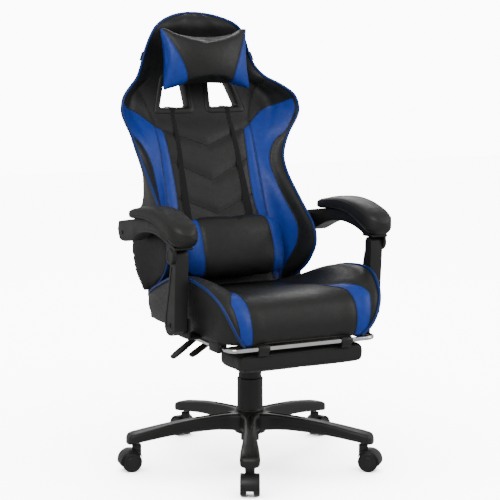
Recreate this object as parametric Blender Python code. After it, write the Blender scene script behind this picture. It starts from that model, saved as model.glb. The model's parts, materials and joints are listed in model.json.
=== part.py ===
"""Reclining gaming chair on a five-star base, with linked armrests and a pull-out footrest.

Metres, +Z up.  The sitter faces -Y and the sitter's left is +X.  The floor is z = 0.  Every length below
is measured from the swivel column's axis, which the empty "chair" then places so that the model's
origin is the middle of its footprint.
"""
import math

import bmesh
import bpy
from mathutils import Matrix, Vector

# ---- general -------------------------------------------------------------------------------------
GAP = 0.0003                # clearance between pieces that touch
SWIVEL_X = 0.0132           # swivel axis from the model's origin
SWIVEL_Y = -0.0449
SIDES = (("left", 1), ("right", -1))

# ---- five-star base ------------------------------------------------------------------------------
LEG_COUNT = 5
LEG_START_DEG = -117.5
HUB_RADIUS = 0.043
HUB_BOTTOM = 0.080
HUB_TOP = 0.1395
STEM_REACH = 0.318          # column axis to caster stem
LEG_TIP = 0.026             # leg beyond the caster stem
# share of the leg's reach, top z, underside z, width
LEG_SECTIONS = (
    (0.06, 0.1385, 0.086, 0.040),
    (0.30, 0.1340, 0.093, 0.031),
    (0.60, 0.1240, 0.089, 0.037),
    (0.86, 0.1090, 0.079, 0.050),
    (0.97, 0.1010, 0.0735, 0.051),
    (1.00, 0.0900, 0.0730, 0.042),
)

# ---- casters -------------------------------------------------------------------------------------
WHEEL_RADIUS = 0.027
WHEEL_WIDTH = 0.0165
WHEEL_GAP = 0.0175          # between the two wheels
CASTER_TRAIL = 0.017
HOOD_WALL = 0.003
HOOD_WIDTH = 0.050
HOOD_WEB = 0.0155
HOOD_TOP = 0.0705
WHEEL_CLEARANCE = 0.0012
AXLE_RADIUS = 0.004
AXLE_PLAY = 0.00008         # running clearance of the axle in the hood's web
STEM_RADIUS = 0.0055
STEM_BOTTOM = 0.056
STEM_TOP = 0.094

# ---- gas lift ------------------------------------------------------------------------------------
TUBE_RADIUS = 0.025
TUBE_BOTTOM = 0.058
TUBE_TOP = 0.235
TUBE_FLOOR = 0.006
CYLINDER_RADIUS = 0.014
CYLINDER_BOTTOM = 0.118
CYLINDER_TOP = 0.360
ROD_RADIUS = 0.005
PISTON_Z = 0.198
SLIDING_PLAY = 0.0005
COVER_WALL = 0.002
COVER_STEP = 0.003          # radius lost from the lower cover to the one that slides in it
COVER_LOWER_RADIUS = 0.0345
COVER_LOWER_TOP = 0.231
COVER_UPPER_BOTTOM = 0.175

# ---- tilt mechanism ------------------------------------------------------------------------------
HOUSING_BOTTOM = 0.333
HOUSING_HALF_WIDTH = 0.0475
# y, z round the housing's side
HOUSING_OUTLINE = ((-0.115, HOUSING_BOTTOM), (0.058, HOUSING_BOTTOM), (0.050, 0.350), (0.000, 0.3615),
                   (-0.035, 0.371), (-0.080, 0.371), (-0.115, 0.362))
TILT_Y = -0.060
TILT_Z = 0.352
TRUNNION_RADIUS = 0.006
EAR_THICKNESS = 0.004
EAR_RADIUS = 0.014
EAR_HALF_LENGTH = 0.030
PLATE_HALF_WIDTH = 0.085
PLATE_THICKNESS = 0.006
PLATE_FRONT = -0.125
PLATE_REAR = 0.125
KNOB_Y = -0.090
KNOB_RADIUS = 0.021
KNOB_BOTTOM = 0.294
KNOB_SPIGOT_RADIUS = 0.0048
KNOB_SPIGOT_TOP = 0.3595
SPRING_TOP = 0.3605
SPRING_SOCKET_TOP = 0.3625
SPRING_RADIUS = 0.0115
SPRING_WIRE = 0.0016
SPRING_TURNS = 5
SPRING_BORE = 0.0165

# ---- seat ----------------------------------------------------------------------------------------
PAN_BOTTOM = 0.3925
PAN_THICKNESS = 0.011
PAN_HALF_WIDTH = 0.2127
PAN_FRONT = -0.272
PAN_REAR = 0.130
# y, centre height, bolster height, bolster half width, side half width at the pan
SEAT_SECTIONS = (
    (-0.300, 0.452, 0.440, 0.196, 0.176),
    (-0.286, 0.476, 0.480, 0.222, 0.200),
    (-0.250, 0.491, 0.518, 0.240, 0.214),
    (-0.160, 0.497, 0.536, 0.254, 0.222),
    (-0.015, 0.484, 0.514, 0.248, 0.226),
    (0.075, 0.472, 0.486, 0.241, 0.228),
    (0.136, 0.460, 0.462, 0.234, 0.224),
)
BOLSTER_DROP = 0.022
BOLSTER_EDGE = 0.012
BOLSTER_CROWN = 0.034
CUSHION_WELL = 0.62         # flat middle of the seat as a share of its half width

# ---- backrest ------------------------------------------------------------------------------------
RECLINE_Y = 0.164           # recline hinge
RECLINE_Z = 0.453
BACK_SLOPE = 0.36           # rearward lean of the backrest's rear face per unit of height
BACK_REAR_FOOT_Y = 0.172    # rear face at the backrest's lower edge
BACK_BOTTOM = 0.475
FRAME_THICKNESS = 0.012
FRAME_TOP = 1.150
FRAME_INSET = 0.014
CUSHION_LOW_HALF_WIDTH = 0.2178
SIDE_PLATE_THICKNESS = 0.004
SIDE_PLATE_TOP = 0.665
FRAME_LEVELS = (BACK_BOTTOM, 0.56, SIDE_PLATE_TOP, 0.68, 0.80, 0.92, 0.985, 1.02, 1.06, FRAME_TOP)
HINGE_PIN_RADIUS = 0.006
HINGE_FRONT = 0.118         # front edge of the hinge brackets and of the notches for them
HINGE_EYE_RADIUS = 0.018
HINGE_FLANGE_X = 0.160      # inner end of the bracket's flange under the pan
# z, front edge half width, front edge y, rear half width
BACK_SECTIONS = (
    (0.475, 0.212, 0.146, 0.205),
    (0.514, 0.217, 0.083, 0.2175),
    (0.556, 0.221, 0.046, 0.2175),
    (0.592, 0.225, 0.038, 0.2175),
    (0.640, 0.224, 0.058, 0.214),
    (0.690, 0.218, 0.107, 0.192),
    (0.757, 0.215, 0.176, 0.190),
    (0.798, 0.219, 0.210, 0.193),
    (0.850, 0.232, 0.226, 0.203),
    (0.905, 0.257, 0.224, 0.214),
    (0.930, 0.267, 0.225, 0.215),
    (0.949, 0.272, 0.226, 0.214),
    (0.985, 0.262, 0.235, 0.197),
    (1.014, 0.230, 0.261, 0.173),
    (1.045, 0.192, 0.294, 0.148),
    (1.101, 0.163, 0.321, 0.122),
    (1.160, 0.140, 0.322, 0.090),
    (1.190, 0.108, 0.334, 0.066),
    (1.207, 0.066, 0.350, 0.038),
    (1.215, 0.020, 0.362, 0.016),
)
# z, y of the cushion's front surface along its middle
BACK_CENTRE = ((0.475, 0.124), (0.659, 0.191), (0.749, 0.224), (0.844, 0.259), (0.900, 0.287),
               (0.930, 0.305), (1.045, 0.346), (1.160, 0.354), (1.215, 0.372))
WING_RUN = 0.062            # breadth over which the cushion rises from its middle to its edge

# belt holes, as (half x, z) corners from the inner bottom, anticlockwise
HOLE_CORNERS = ((0.028, 0.946), (0.130, 0.946), (0.100, 1.034), (0.034, 1.034))
BEZEL_WALL = 0.004
BEZEL_LIP = 0.010
BEZEL_PROUD = 0.003
BEZEL_INSET = 0.001
HOLE_TOOL_REACH = 0.080     # overshoot of the tools that cut the belt holes

HEAD_PILLOW = {"centre": (0.0, 0.268, 1.088), "half": (0.140, 0.042, 0.093), "lean_deg": 7.0}
LUMBAR_PILLOW = {"centre": (0.0, 0.098, 0.580), "half": (0.154, 0.046, 0.088), "lean_deg": 19.0}

# ---- armrests ------------------------------------------------------------------------------------
ARM_INNER_X = 0.262
ARM_WIDTH = 0.046
ARM_PIVOT_Y = 0.139         # arm frame on the backrest
ARM_PIVOT_Z = 0.634
POST_TOP_Y = -0.167         # arm frame on the post
POST_TOP_Z = 0.603
POST_INSET = 0.006          # post inside the arm's inner face
POST_INNER_X = ARM_INNER_X + POST_INSET
POST_WIDTH = 0.0355
ARM_PIN_RADIUS = 0.007
PIN_PLAY = 0.0005
POST_BOSS_RADIUS = 0.015
ARM_BRACKET_START = 0.150   # inner end of the bracket's flange under the pan
ARM_BRACKET_GAP = 0.0045    # bracket beside the post
ARM_BRACKET_X = POST_INNER_X - ARM_BRACKET_GAP
ARM_BRACKET_THICKNESS = 0.005
ARM_BRACKET_HEAD = 0.018
ARM_BRACKET_HALF_LENGTH = 0.030
ARM_PIN_REACH = 0.038
DISC_RADIUS = 0.021
DISC_THICKNESS = 0.010
DISC_NECK = ((-0.146, 0.641), (-0.180, 0.627))
PAD_HALF_WIDTH = 0.039
PAD_CENTRE_X = ARM_INNER_X + ARM_WIDTH / 2.0
ARM_TOP = ((0.174, 0.657), (0.096, 0.669), (0.032, 0.6765), (-0.030, 0.6785), (-0.074, 0.672),
           (-0.110, 0.661), (-0.144, 0.645), (-0.179, 0.630), (-0.198, 0.6268))
ARM_BOTTOM = ((-0.198, 0.6205), (-0.152, 0.6205), (-0.144, 0.628), (-0.100, 0.641), (-0.050, 0.6475),
              (0.000, 0.6455), (0.040, 0.638), (0.075, 0.626), (0.110, 0.612), (0.133, 0.606),
              (0.168, 0.609), (0.182, 0.635))
PAD_TOP = ((-0.206, 0.6265), (-0.217, 0.638), (-0.222, 0.655), (-0.214, 0.673), (-0.190, 0.691),
           (-0.130, 0.709), (-0.056, 0.717), (0.000, 0.713), (0.045, 0.705), (0.078, 0.698), (0.084, 0.688))
PAD_UNDERSIDE = (0.080, 0.032, -0.030, -0.074, -0.110, -0.144, -0.179, -0.196)     # y along the frame's top
PAD_LIP = (-0.200, 0.6264)
POST_REAR = ((-0.160, 0.397), (-0.128, 0.397), (-0.112, 0.412), (-0.112, 0.440), (-0.136, 0.520),
             (-0.151, 0.585))
POST_FRONT = ((-0.183, 0.585), (-0.177, 0.500), (-0.173, 0.412))

# ---- footrest ------------------------------------------------------------------------------------
RAIL_HALF_SPAN = 0.210
RAIL_RADIUS = 0.006
RAIL_Z = 0.375
RAIL_REAR = 0.060
BAR_Y = -0.303
BAR_CORNER = 0.028
GUIDE_FRONT = -0.255
GUIDE_LENGTH = 0.052
GUIDE_HALF_WIDTH = 0.013
GUIDE_DROP = 0.0115
REST_HALF_WIDTH = 0.181
REST_DEPTH = 0.128
REST_SETBACK = 0.0045       # pad's front face behind the bar's axis
REST_TOP = 0.3630
REST_THICKNESS = 0.050
LUG_X = 0.120
LUG_LENGTH = 0.030
LUG_RADIUS = 0.0105

# ---- levers --------------------------------------------------------------------------------------
LEVER_ROD = 0.0035
HEIGHT_LEVER_PATH = ((-0.0482, -0.030, 0.350), (-0.115, -0.030, 0.3495), (-0.140, -0.030, 0.344))
HEIGHT_LEVER_TIP = (-0.193, -0.030, 0.313)
RECLINE_LEVER_PATH = ((-0.0885, 0.014, 0.3870), (-0.120, 0.014, 0.376), (-0.150, 0.014, 0.3560))
RECLINE_LEVER_TIP = (-0.227, 0.014, 0.303)
PADDLE_HALF_WIDTH = 0.013
PADDLE_HALF_THICKNESS = 0.006
# share of the way to the tip, share of the half width
PADDLE_SECTIONS = ((-0.35, 0.50), (-0.20, 0.62), (0.25, 0.75), (0.65, 1.0), (0.92, 0.95), (1.0, 0.60))

POST_FOOT_Y = RECLINE_Y - (ARM_PIVOT_Y - POST_TOP_Y)     # the four pivots form a parallelogram
POST_FOOT_Z = RECLINE_Z - (ARM_PIVOT_Z - POST_TOP_Z)

COLOURS = {
    "nylon": ((0.012, 0.012, 0.011), 0.45, 0.0),
    "leather": ((0.022, 0.022, 0.020), 0.42, 0.0),
    "pillow": ((0.020, 0.060, 0.330), 0.45, 0.0),
    "steel": ((0.045, 0.045, 0.045), 0.40, 0.9),
    "chrome": ((0.80, 0.80, 0.80), 0.10, 1.0),
    "plywood": ((0.30, 0.20, 0.11), 0.70, 0.0),
    "rubber": ((0.015, 0.015, 0.015), 0.55, 0.0),
}

# body: parent body and hinge or slide point, from the swivel axis
BODIES = {
    "base": (None, (0.0, 0.0, 0.0)),
    "rod": ("base", (0.0, 0.0, 0.0)),
    "lift": ("rod", (0.0, 0.0, CYLINDER_BOTTOM)),
    "height_lever": ("lift", HEIGHT_LEVER_PATH[0]),
    "tension_knob": ("lift", (0.0, KNOB_Y, KNOB_BOTTOM)),
    "seat": ("lift", (0.0, TILT_Y, TILT_Z)),
    "recline_lever": ("seat", RECLINE_LEVER_PATH[0]),
    "footrest_slide": ("seat", (0.0, BAR_Y, RAIL_Z)),
    "footrest_flip": ("footrest_slide", (0.0, BAR_Y, RAIL_Z)),
    "backrest": ("seat", (0.0, RECLINE_Y, RECLINE_Z)),
    "arm_left": ("backrest", (PAD_CENTRE_X, ARM_PIVOT_Y, ARM_PIVOT_Z)),
    "arm_right": ("backrest", (-PAD_CENTRE_X, ARM_PIVOT_Y, ARM_PIVOT_Z)),
    "post_left": ("seat", (PAD_CENTRE_X, POST_FOOT_Y, POST_FOOT_Z)),
    "post_right": ("seat", (-PAD_CENTRE_X, POST_FOOT_Y, POST_FOOT_Z)),
}


# ---- helpers -------------------------------------------------------------------------------------
def clear_scene():
    for item in list(bpy.data.objects):
        bpy.data.objects.remove(item, do_unlink=True)


def make_material(name):
    colour, roughness, metallic = COLOURS[name]
    material = bpy.data.materials.new(name)
    material.use_nodes = True
    shader = material.node_tree.nodes["Principled BSDF"]
    shader.inputs["Base Color"].default_value = (*colour, 1.0)
    shader.inputs["Roughness"].default_value = roughness
    shader.inputs["Metallic"].default_value = metallic
    material.diffuse_color = (*colour, 1.0)
    return material


def make_empty(name, parent, location, turn=0.0):
    empty = bpy.data.objects.new(name, None)
    bpy.context.collection.objects.link(empty)
    empty.parent = parent
    empty.location = location
    empty.rotation_euler = (0.0, 0.0, turn)
    return empty


def make_object(name, verts, faces):
    """A mesh object from points and faces, with its faces turned outwards."""
    mesh = bpy.data.meshes.new(name)
    shape = bmesh.new()
    points = [shape.verts.new(point) for point in verts]
    for face in faces:
        shape.faces.new([points[index] for index in face])
    bmesh.ops.remove_doubles(shape, verts=shape.verts, dist=1e-6)
    bmesh.ops.recalc_face_normals(shape, faces=shape.faces)
    shape.to_mesh(mesh)
    shape.free()
    item = bpy.data.objects.new(name, mesh)
    bpy.context.collection.objects.link(item)
    return item


def interpolate(table, at, column):
    """Column value of a table of rows at a place along its first column, in straight steps."""
    rows = sorted(table)
    if at <= rows[0][0]:
        return rows[0][column]
    for low, high in zip(rows, rows[1:]):
        if at <= high[0]:
            share = (at - low[0]) / (high[0] - low[0])
            return low[column] + share * (high[column] - low[column])
    return rows[-1][column]


def loft(name, rings):
    """A closed solid through rings of equally many points."""
    count = len(rings[0])
    verts = [point for ring in rings for point in ring]
    faces = [list(range(count)), list(range(len(verts) - count, len(verts)))]
    for level in range(len(rings) - 1):
        start = level * count
        for index in range(count):
            after = (index + 1) % count
            faces.append([start + index, start + after, start + count + after, start + count + index])
    return make_object(name, verts, faces)


def lathe(name, profile, segments=28):
    """Turn a closed profile of (radius, z) points about Z."""
    verts = []
    rows = []
    for radius, height in profile:
        if radius == 0.0:
            rows.append([len(verts)] * segments)
            verts.append((0.0, 0.0, height))
            continue
        rows.append(list(range(len(verts), len(verts) + segments)))
        for step in range(segments):
            angle = 2.0 * math.pi * step / segments
            verts.append((radius * math.cos(angle), radius * math.sin(angle), height))
    faces = []
    for row, after in zip(rows, rows[1:] + rows[:1]):
        for step in range(segments):
            ahead = (step + 1) % segments
            face = []
            for index in (row[step], row[ahead], after[ahead], after[step]):
                if index not in face:
                    face.append(index)
            if len(face) > 2:
                faces.append(face)
    return make_object(name, verts, faces)


def sleeve(name, inner, outer, bottom, top, segments=28):
    return lathe(name, ((inner, bottom), (outer, bottom), (outer, top), (inner, top)), segments)


def rod(name, start, end, radius, segments=20):
    """A round bar between two points."""
    start = Vector(start)
    run = Vector(end) - start
    item = lathe(name, ((0.0, 0.0), (radius, 0.0), (radius, run.length), (0.0, run.length)), segments)
    turn = run.to_track_quat("Z", "Y").to_matrix().to_4x4()
    item.data.transform(Matrix.Translation(start) @ turn)
    return item


def prism_x(name, outline, low, high):
    """An outline of (y, z) points, extruded along X."""
    return loft(name, [[(x, y, z) for y, z in outline] for x in sorted((low, high))])


def prism_y(name, outline, low, high):
    """An outline of (x, z) points, extruded along Y."""
    return loft(name, [[(x, y, z) for x, z in outline] for y in sorted((low, high))])


def block(name, low, high):
    (x0, y0, z0), (x1, y1, z1) = low, high
    return prism_x(name, ((y0, z0), (y1, z0), (y1, z1), (y0, z1)), x0, x1)


def tube(name, path, radius, sides=10):
    """A round bar along a path of points."""
    points = [Vector(point) for point in path]
    rings = []
    side = Vector((0.0, 0.0, 1.0))
    for index, point in enumerate(points):
        ahead = points[min(index + 1, len(points) - 1)]
        behind = points[max(index - 1, 0)]
        along = (ahead - behind).normalized()
        side = (side - along * side.dot(along)).normalized()
        across = along.cross(side)
        ring = []
        for step in range(sides):
            angle = 2.0 * math.pi * step / sides
            ring.append(point + radius * (math.cos(angle) * side + math.sin(angle) * across))
        rings.append(ring)
    return loft(name, rings)


def arc(centre, radius, start_deg, end_deg, steps):
    """Points of a round stretch of an outline."""
    points = []
    for step in range(steps + 1):
        angle = math.radians(start_deg + (end_deg - start_deg) * step / steps)
        points.append((centre[0] + radius * math.cos(angle), centre[1] + radius * math.sin(angle)))
    return points


def boolean(target, tool, operation):
    modifier = target.modifiers.new(tool.name, "BOOLEAN")
    modifier.operation = operation
    modifier.object = tool
    tool.hide_render = True
    tool.display_type = "WIRE"


def join(target, *tools):
    for tool in tools:
        boolean(target, tool, "UNION")


def cut(target, *tools):
    for tool in tools:
        boolean(target, tool, "DIFFERENCE")


def smooth(item, angle_deg=35.0):
    item.data.shade_smooth()
    item.data.set_sharp_from_angle(angle=math.radians(angle_deg))


class Chair:
    """The assembly: one empty for each body, and every piece parented to its body's empty."""

    def __init__(self):
        self.materials = {name: make_material(name) for name in COLOURS}
        self.root = make_empty("chair", None, (SWIVEL_X, SWIVEL_Y, 0.0))
        self.empties = {}
        for body, (parent, place) in BODIES.items():
            holder = self.root if parent is None else self.empties[parent]
            origin = (0.0, 0.0, 0.0) if parent is None else BODIES[parent][1]
            self.empties[body] = make_empty(body + "_joint", holder, Vector(place) - Vector(origin))

    def hold(self, item, body):
        """Move a mesh's origin to its body's joint and parent it there, with the tools that shape it."""
        tools = [modifier.object for modifier in item.modifiers if modifier.type == "BOOLEAN"]
        for piece in [item] + tools:
            if piece.parent is None:
                piece.data.transform(Matrix.Translation(-Vector(BODIES[body][1])))
                piece.parent = self.empties[body]
        for tool in tools:
            self.hold_tools(tool, body)

    def hold_tools(self, item, body):
        for modifier in item.modifiers:
            if modifier.type == "BOOLEAN":
                self.hold(modifier.object, body)

    def add(self, item, body, material):
        smooth(item)
        item.data.materials.append(self.materials[material])
        self.hold(item, body)
        return item


# ---- base and casters ----------------------------------------------------------------------------
def leg_rings():
    """Rings of a leg along +X: flat sides, with the upper corners taken off."""
    rings = []
    reach = STEM_REACH + LEG_TIP
    for share, top, bottom, width in LEG_SECTIONS:
        half = width / 2.0
        shoulder = top - 0.25 * (top - bottom)
        outline = ((-half * 0.9, bottom), (half * 0.9, bottom), (half, shoulder), (half * 0.6, top),
                   (-half * 0.6, top), (-half, shoulder))
        rings.append([(share * reach, y, z) for y, z in outline])
    return rings


def build_base(chair):
    base = lathe("star_base", ((0.0, HUB_BOTTOM), (HUB_RADIUS - 0.003, HUB_BOTTOM),
                               (HUB_RADIUS, HUB_BOTTOM + 0.004), (HUB_RADIUS - 0.002, HUB_TOP), (0.0, HUB_TOP)))
    bores = [rod("hub_bore", (0, 0, HUB_BOTTOM - 0.01), (0, 0, HUB_TOP + 0.01), TUBE_RADIUS + GAP, 28)]
    for number in range(LEG_COUNT):
        turn = math.radians(LEG_START_DEG + 360.0 / LEG_COUNT * number)
        leg = loft(f"leg_{number + 1}", leg_rings())
        leg.data.transform(Matrix.Rotation(turn, 4, "Z"))
        join(base, leg)
        foot = (STEM_REACH * math.cos(turn), STEM_REACH * math.sin(turn))
        bores.append(rod(f"stem_bore_{number + 1}", (*foot, STEM_BOTTOM), (*foot, STEM_TOP + GAP),
                         STEM_RADIUS + GAP))
    cut(base, *bores)
    chair.add(base, "base", "nylon")


def hood_mesh():
    """Caster hood about its stem axis: fender, web between the wheels and boss for the stem."""
    centre = (CASTER_TRAIL, WHEEL_RADIUS)
    outer = WHEEL_RADIUS + WHEEL_CLEARANCE + HOOD_WALL
    foot = AXLE_RADIUS + 0.005
    outline = arc(centre, outer, -14.0, 150.0, 14) + arc(centre, foot, 190.0, 330.0, 5)
    hood = prism_x("caster_hood_shape", outline, -HOOD_WIDTH / 2.0, HOOD_WIDTH / 2.0)
    hood.data.transform(Matrix.Rotation(math.radians(-90.0), 4, "Z"))
    hood.data.transform(Matrix.Scale(-1.0, 4, (0.0, 1.0, 0.0)))
    hood.data.flip_normals()
    boss = rod("caster_boss", (0.0, 0.0, 0.040), (0.0, 0.0, HOOD_TOP), 0.0125, 20)
    join(hood, boss)
    tools = []
    for side in (-1, 1):
        near = side * HOOD_WEB / 2.0
        far = side * HOOD_WIDTH
        tools.append(rod(f"wheel_space_{side}", (CASTER_TRAIL, near, WHEEL_RADIUS),
                         (CASTER_TRAIL, far, WHEEL_RADIUS), WHEEL_RADIUS + WHEEL_CLEARANCE, 28))
    tools.append(rod("axle_bore", (CASTER_TRAIL, -HOOD_WIDTH, WHEEL_RADIUS),
                     (CASTER_TRAIL, HOOD_WIDTH, WHEEL_RADIUS), AXLE_RADIUS + AXLE_PLAY))
    tools.append(rod("stem_socket", (0.0, 0.0, STEM_BOTTOM - GAP), (0.0, 0.0, HOOD_TOP + 0.01),
                     STEM_RADIUS + AXLE_PLAY))
    cut(hood, *tools)
    return settle(hood)


def settle(item):
    """The evaluated mesh of a shape that several pieces share; the shape and its tools are removed."""
    bpy.context.view_layer.update()
    graph = bpy.context.evaluated_depsgraph_get()
    mesh = bpy.data.meshes.new_from_object(item.evaluated_get(graph))
    for modifier in list(item.modifiers):
        if modifier.type == "BOOLEAN":
            bpy.data.objects.remove(modifier.object, do_unlink=True)
    bpy.data.objects.remove(item, do_unlink=True)
    return mesh


def wheel_mesh(side):
    """One wheel about its own axis, which is Y, with the pair's middle at y = 0."""
    inner = WHEEL_GAP / 2.0
    outer = inner + WHEEL_WIDTH
    bore = AXLE_RADIUS + GAP
    rim = 0.003
    profile = ((bore, inner), (WHEEL_RADIUS - rim, inner), (WHEEL_RADIUS, inner + rim),
               (WHEEL_RADIUS, outer - rim), (WHEEL_RADIUS - rim, outer), (bore, outer))
    wheel = lathe("wheel_shape", profile, 24)
    wheel.data.transform(Matrix.Rotation(math.radians(-90.0 * side), 4, "X"))
    return settle(wheel)


def build_casters(chair):
    hood = hood_mesh()
    wheels = {"outer": wheel_mesh(1), "inner": wheel_mesh(-1)}
    half_axle = WHEEL_GAP / 2.0 + WHEEL_WIDTH - 0.002
    axle = settle(rod("axle_shape", (0.0, -half_axle, 0.0), (0.0, half_axle, 0.0), AXLE_RADIUS, 16))
    stem = settle(rod("stem_shape", (0.0, 0.0, STEM_BOTTOM), (0.0, 0.0, STEM_TOP), STEM_RADIUS, 16))
    for number in range(1, LEG_COUNT + 1):
        turn = math.radians(LEG_START_DEG + 360.0 / LEG_COUNT * (number - 1))
        foot = (STEM_REACH * math.cos(turn), STEM_REACH * math.sin(turn), 0.0)
        holder = make_empty(f"caster_{number}_joint", chair.empties["base"], foot, turn)
        spin = make_empty(f"caster_{number}_axle_joint", holder, (CASTER_TRAIL, 0.0, WHEEL_RADIUS))
        pieces = [(f"caster_stem_{number}", stem, holder, "steel"),
                  (f"caster_hood_{number}", hood, holder, "nylon"),
                  (f"caster_axle_{number}", axle, spin, "steel"),
                  (f"caster_wheel_{number}_a", wheels["outer"], spin, "rubber"),
                  (f"caster_wheel_{number}_b", wheels["inner"], spin, "rubber")]
        for name, mesh, parent, material in pieces:
            item = bpy.data.objects.new(name, mesh)
            bpy.context.collection.objects.link(item)
            item.parent = parent
            if not mesh.materials:
                mesh.materials.append(chair.materials[material])
                smooth(item)


# ---- gas lift and mechanism ----------------------------------------------------------------------
def build_gas_lift(chair):
    bore = CYLINDER_RADIUS + SLIDING_PLAY
    floor = TUBE_BOTTOM + TUBE_FLOOR
    tube_profile = ((0.0, TUBE_BOTTOM), (TUBE_RADIUS, TUBE_BOTTOM), (TUBE_RADIUS, TUBE_TOP), (bore, TUBE_TOP),
                    (bore, floor), (0.0, floor))
    chair.add(lathe("gas_column_tube", tube_profile), "base", "steel")
    bearing_top = floor + GAP + 0.005
    chair.add(sleeve("thrust_bearing", 0.006, 0.0135, floor + GAP, bearing_top, 24), "base", "steel")
    flange = bearing_top + GAP
    piston_radius = 0.0107
    rod_profile = ((0.0, flange), (0.012, flange), (0.012, flange + 0.004), (ROD_RADIUS, flange + 0.004),
                   (ROD_RADIUS, PISTON_Z), (piston_radius, PISTON_Z), (piston_radius, PISTON_Z + 0.010),
                   (0.0, PISTON_Z + 0.010))
    chair.add(lathe("piston_rod", rod_profile, 24), "rod", "steel")
    inside = piston_radius + SLIDING_PLAY
    guide = ROD_RADIUS + GAP
    cylinder_profile = ((guide, CYLINDER_BOTTOM), (CYLINDER_RADIUS, CYLINDER_BOTTOM),
                        (CYLINDER_RADIUS, CYLINDER_TOP - 0.022), (CYLINDER_RADIUS - 0.0015, CYLINDER_TOP),
                        (0.0, CYLINDER_TOP), (0.0, CYLINDER_TOP - 0.028), (inside, CYLINDER_TOP - 0.028),
                        (inside, CYLINDER_BOTTOM + 0.004), (guide, CYLINDER_BOTTOM + 0.004))
    chair.add(lathe("gas_cylinder", cylinder_profile, 24), "lift", "steel")
    lower = COVER_LOWER_RADIUS
    chair.add(sleeve("column_cover_lower", lower - COVER_WALL, lower, HUB_TOP + GAP, COVER_LOWER_TOP), "base",
              "nylon")
    upper = lower - COVER_STEP
    top = HOUSING_BOTTOM - GAP
    neck = CYLINDER_RADIUS + SLIDING_PLAY
    cover_profile = ((upper - COVER_WALL, COVER_UPPER_BOTTOM), (upper, COVER_UPPER_BOTTOM), (upper, top),
                     (neck, top), (neck, top - 0.003), (upper - COVER_WALL, top - 0.003))
    chair.add(lathe("column_cover_upper", cover_profile), "lift", "nylon")


def build_mechanism(chair):
    housing = prism_x("mechanism_housing", HOUSING_OUTLINE, -HOUSING_HALF_WIDTH, HOUSING_HALF_WIDTH)
    trunnion = HOUSING_HALF_WIDTH + GAP + EAR_THICKNESS + 0.003
    join(housing, rod("trunnion", (-trunnion, TILT_Y, TILT_Z), (trunnion, TILT_Y, TILT_Z), TRUNNION_RADIUS))
    cut(housing, rod("cylinder_socket", (0, 0, HOUSING_BOTTOM - 0.01), (0, 0, SPRING_SOCKET_TOP + 0.04),
                     CYLINDER_RADIUS + GAP, 24),
        rod("spring_socket", (0, KNOB_Y, HOUSING_BOTTOM - 0.01), (0, KNOB_Y, SPRING_SOCKET_TOP), SPRING_BORE,
            24))
    chair.add(housing, "lift", "steel")

    top = PAN_BOTTOM - GAP
    plate = block("seat_plate", (-PLATE_HALF_WIDTH, PLATE_FRONT, top - PLATE_THICKNESS),
                  (PLATE_HALF_WIDTH, PLATE_REAR, top))
    ear_outline = [(TILT_Y - EAR_HALF_LENGTH, top - 0.003)] + arc((TILT_Y, TILT_Z), EAR_RADIUS, 180.0, 360.0, 8)
    ear_outline.append((TILT_Y + EAR_HALF_LENGTH, top - 0.003))
    for name, side in SIDES:
        inner = side * (HOUSING_HALF_WIDTH + GAP)
        join(plate, prism_x(f"plate_ear_{name}", ear_outline, inner, inner + side * EAR_THICKNESS))
    cut(plate, rod("trunnion_bore", (-0.08, TILT_Y, TILT_Z), (0.08, TILT_Y, TILT_Z), TRUNNION_RADIUS + GAP))
    chair.add(plate, "seat", "steel")

    seat_of_spring = HOUSING_BOTTOM - 0.0006
    knob = lathe("tension_knob", ((0.0, KNOB_BOTTOM), (KNOB_RADIUS - 0.004, KNOB_BOTTOM),
                                  (KNOB_RADIUS, KNOB_BOTTOM + 0.004), (KNOB_RADIUS, KNOB_BOTTOM + 0.024),
                                  (KNOB_RADIUS - 0.006, KNOB_BOTTOM + 0.030), (0.0145, seat_of_spring),
                                  (KNOB_SPIGOT_RADIUS, seat_of_spring), (KNOB_SPIGOT_RADIUS, KNOB_SPIGOT_TOP),
                                  (0.0, KNOB_SPIGOT_TOP)), 24)
    knob.data.transform(Matrix.Translation((0.0, KNOB_Y, 0.0)))
    chair.add(knob, "tension_knob", "nylon")
    bottom = seat_of_spring + GAP + SPRING_WIRE
    rise = SPRING_TOP - SPRING_WIRE - bottom
    steps = 12 * SPRING_TURNS
    coil = []
    for step in range(steps + 1):
        angle = 2.0 * math.pi * SPRING_TURNS * step / steps
        coil.append((SPRING_RADIUS * math.cos(angle), KNOB_Y + SPRING_RADIUS * math.sin(angle),
                     bottom + rise * step / steps))
    chair.add(tube("tilt_spring", coil, SPRING_WIRE, 5), "lift", "steel")


def build_lever(chair, name, path, tip):
    """A bent rod with a flat moulded paddle on its outer end."""
    lever = tube(name, path, LEVER_ROD, 8)
    start = Vector(path[-1])
    run = Vector(tip) - start
    along = run.normalized()
    across = Vector((0.0, 1.0, 0.0))
    up = along.cross(across)
    rings = []
    for share, width in PADDLE_SECTIONS:
        ring = []
        for step in range(10):
            angle = 2.0 * math.pi * step / 10
            ring.append(start + share * run + PADDLE_HALF_WIDTH * width * math.cos(angle) * across
                        + PADDLE_HALF_THICKNESS * math.sin(angle) * up)
        rings.append(ring)
    join(lever, loft(name + "_paddle", rings))
    chair.add(lever, name, "nylon")


# ---- seat ----------------------------------------------------------------------------------------
def seat_outline(centre, bolster, half, foot, floor):
    """One cross-section of the seat cushion, right side of the sitter first."""
    well = CUSHION_WELL * half
    right = [(foot, floor), (half, bolster - BOLSTER_DROP), (half - BOLSTER_EDGE, bolster),
             (half - BOLSTER_CROWN, bolster), (well, centre)]
    return right + [(-x, z) for x, z in reversed(right)]


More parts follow.
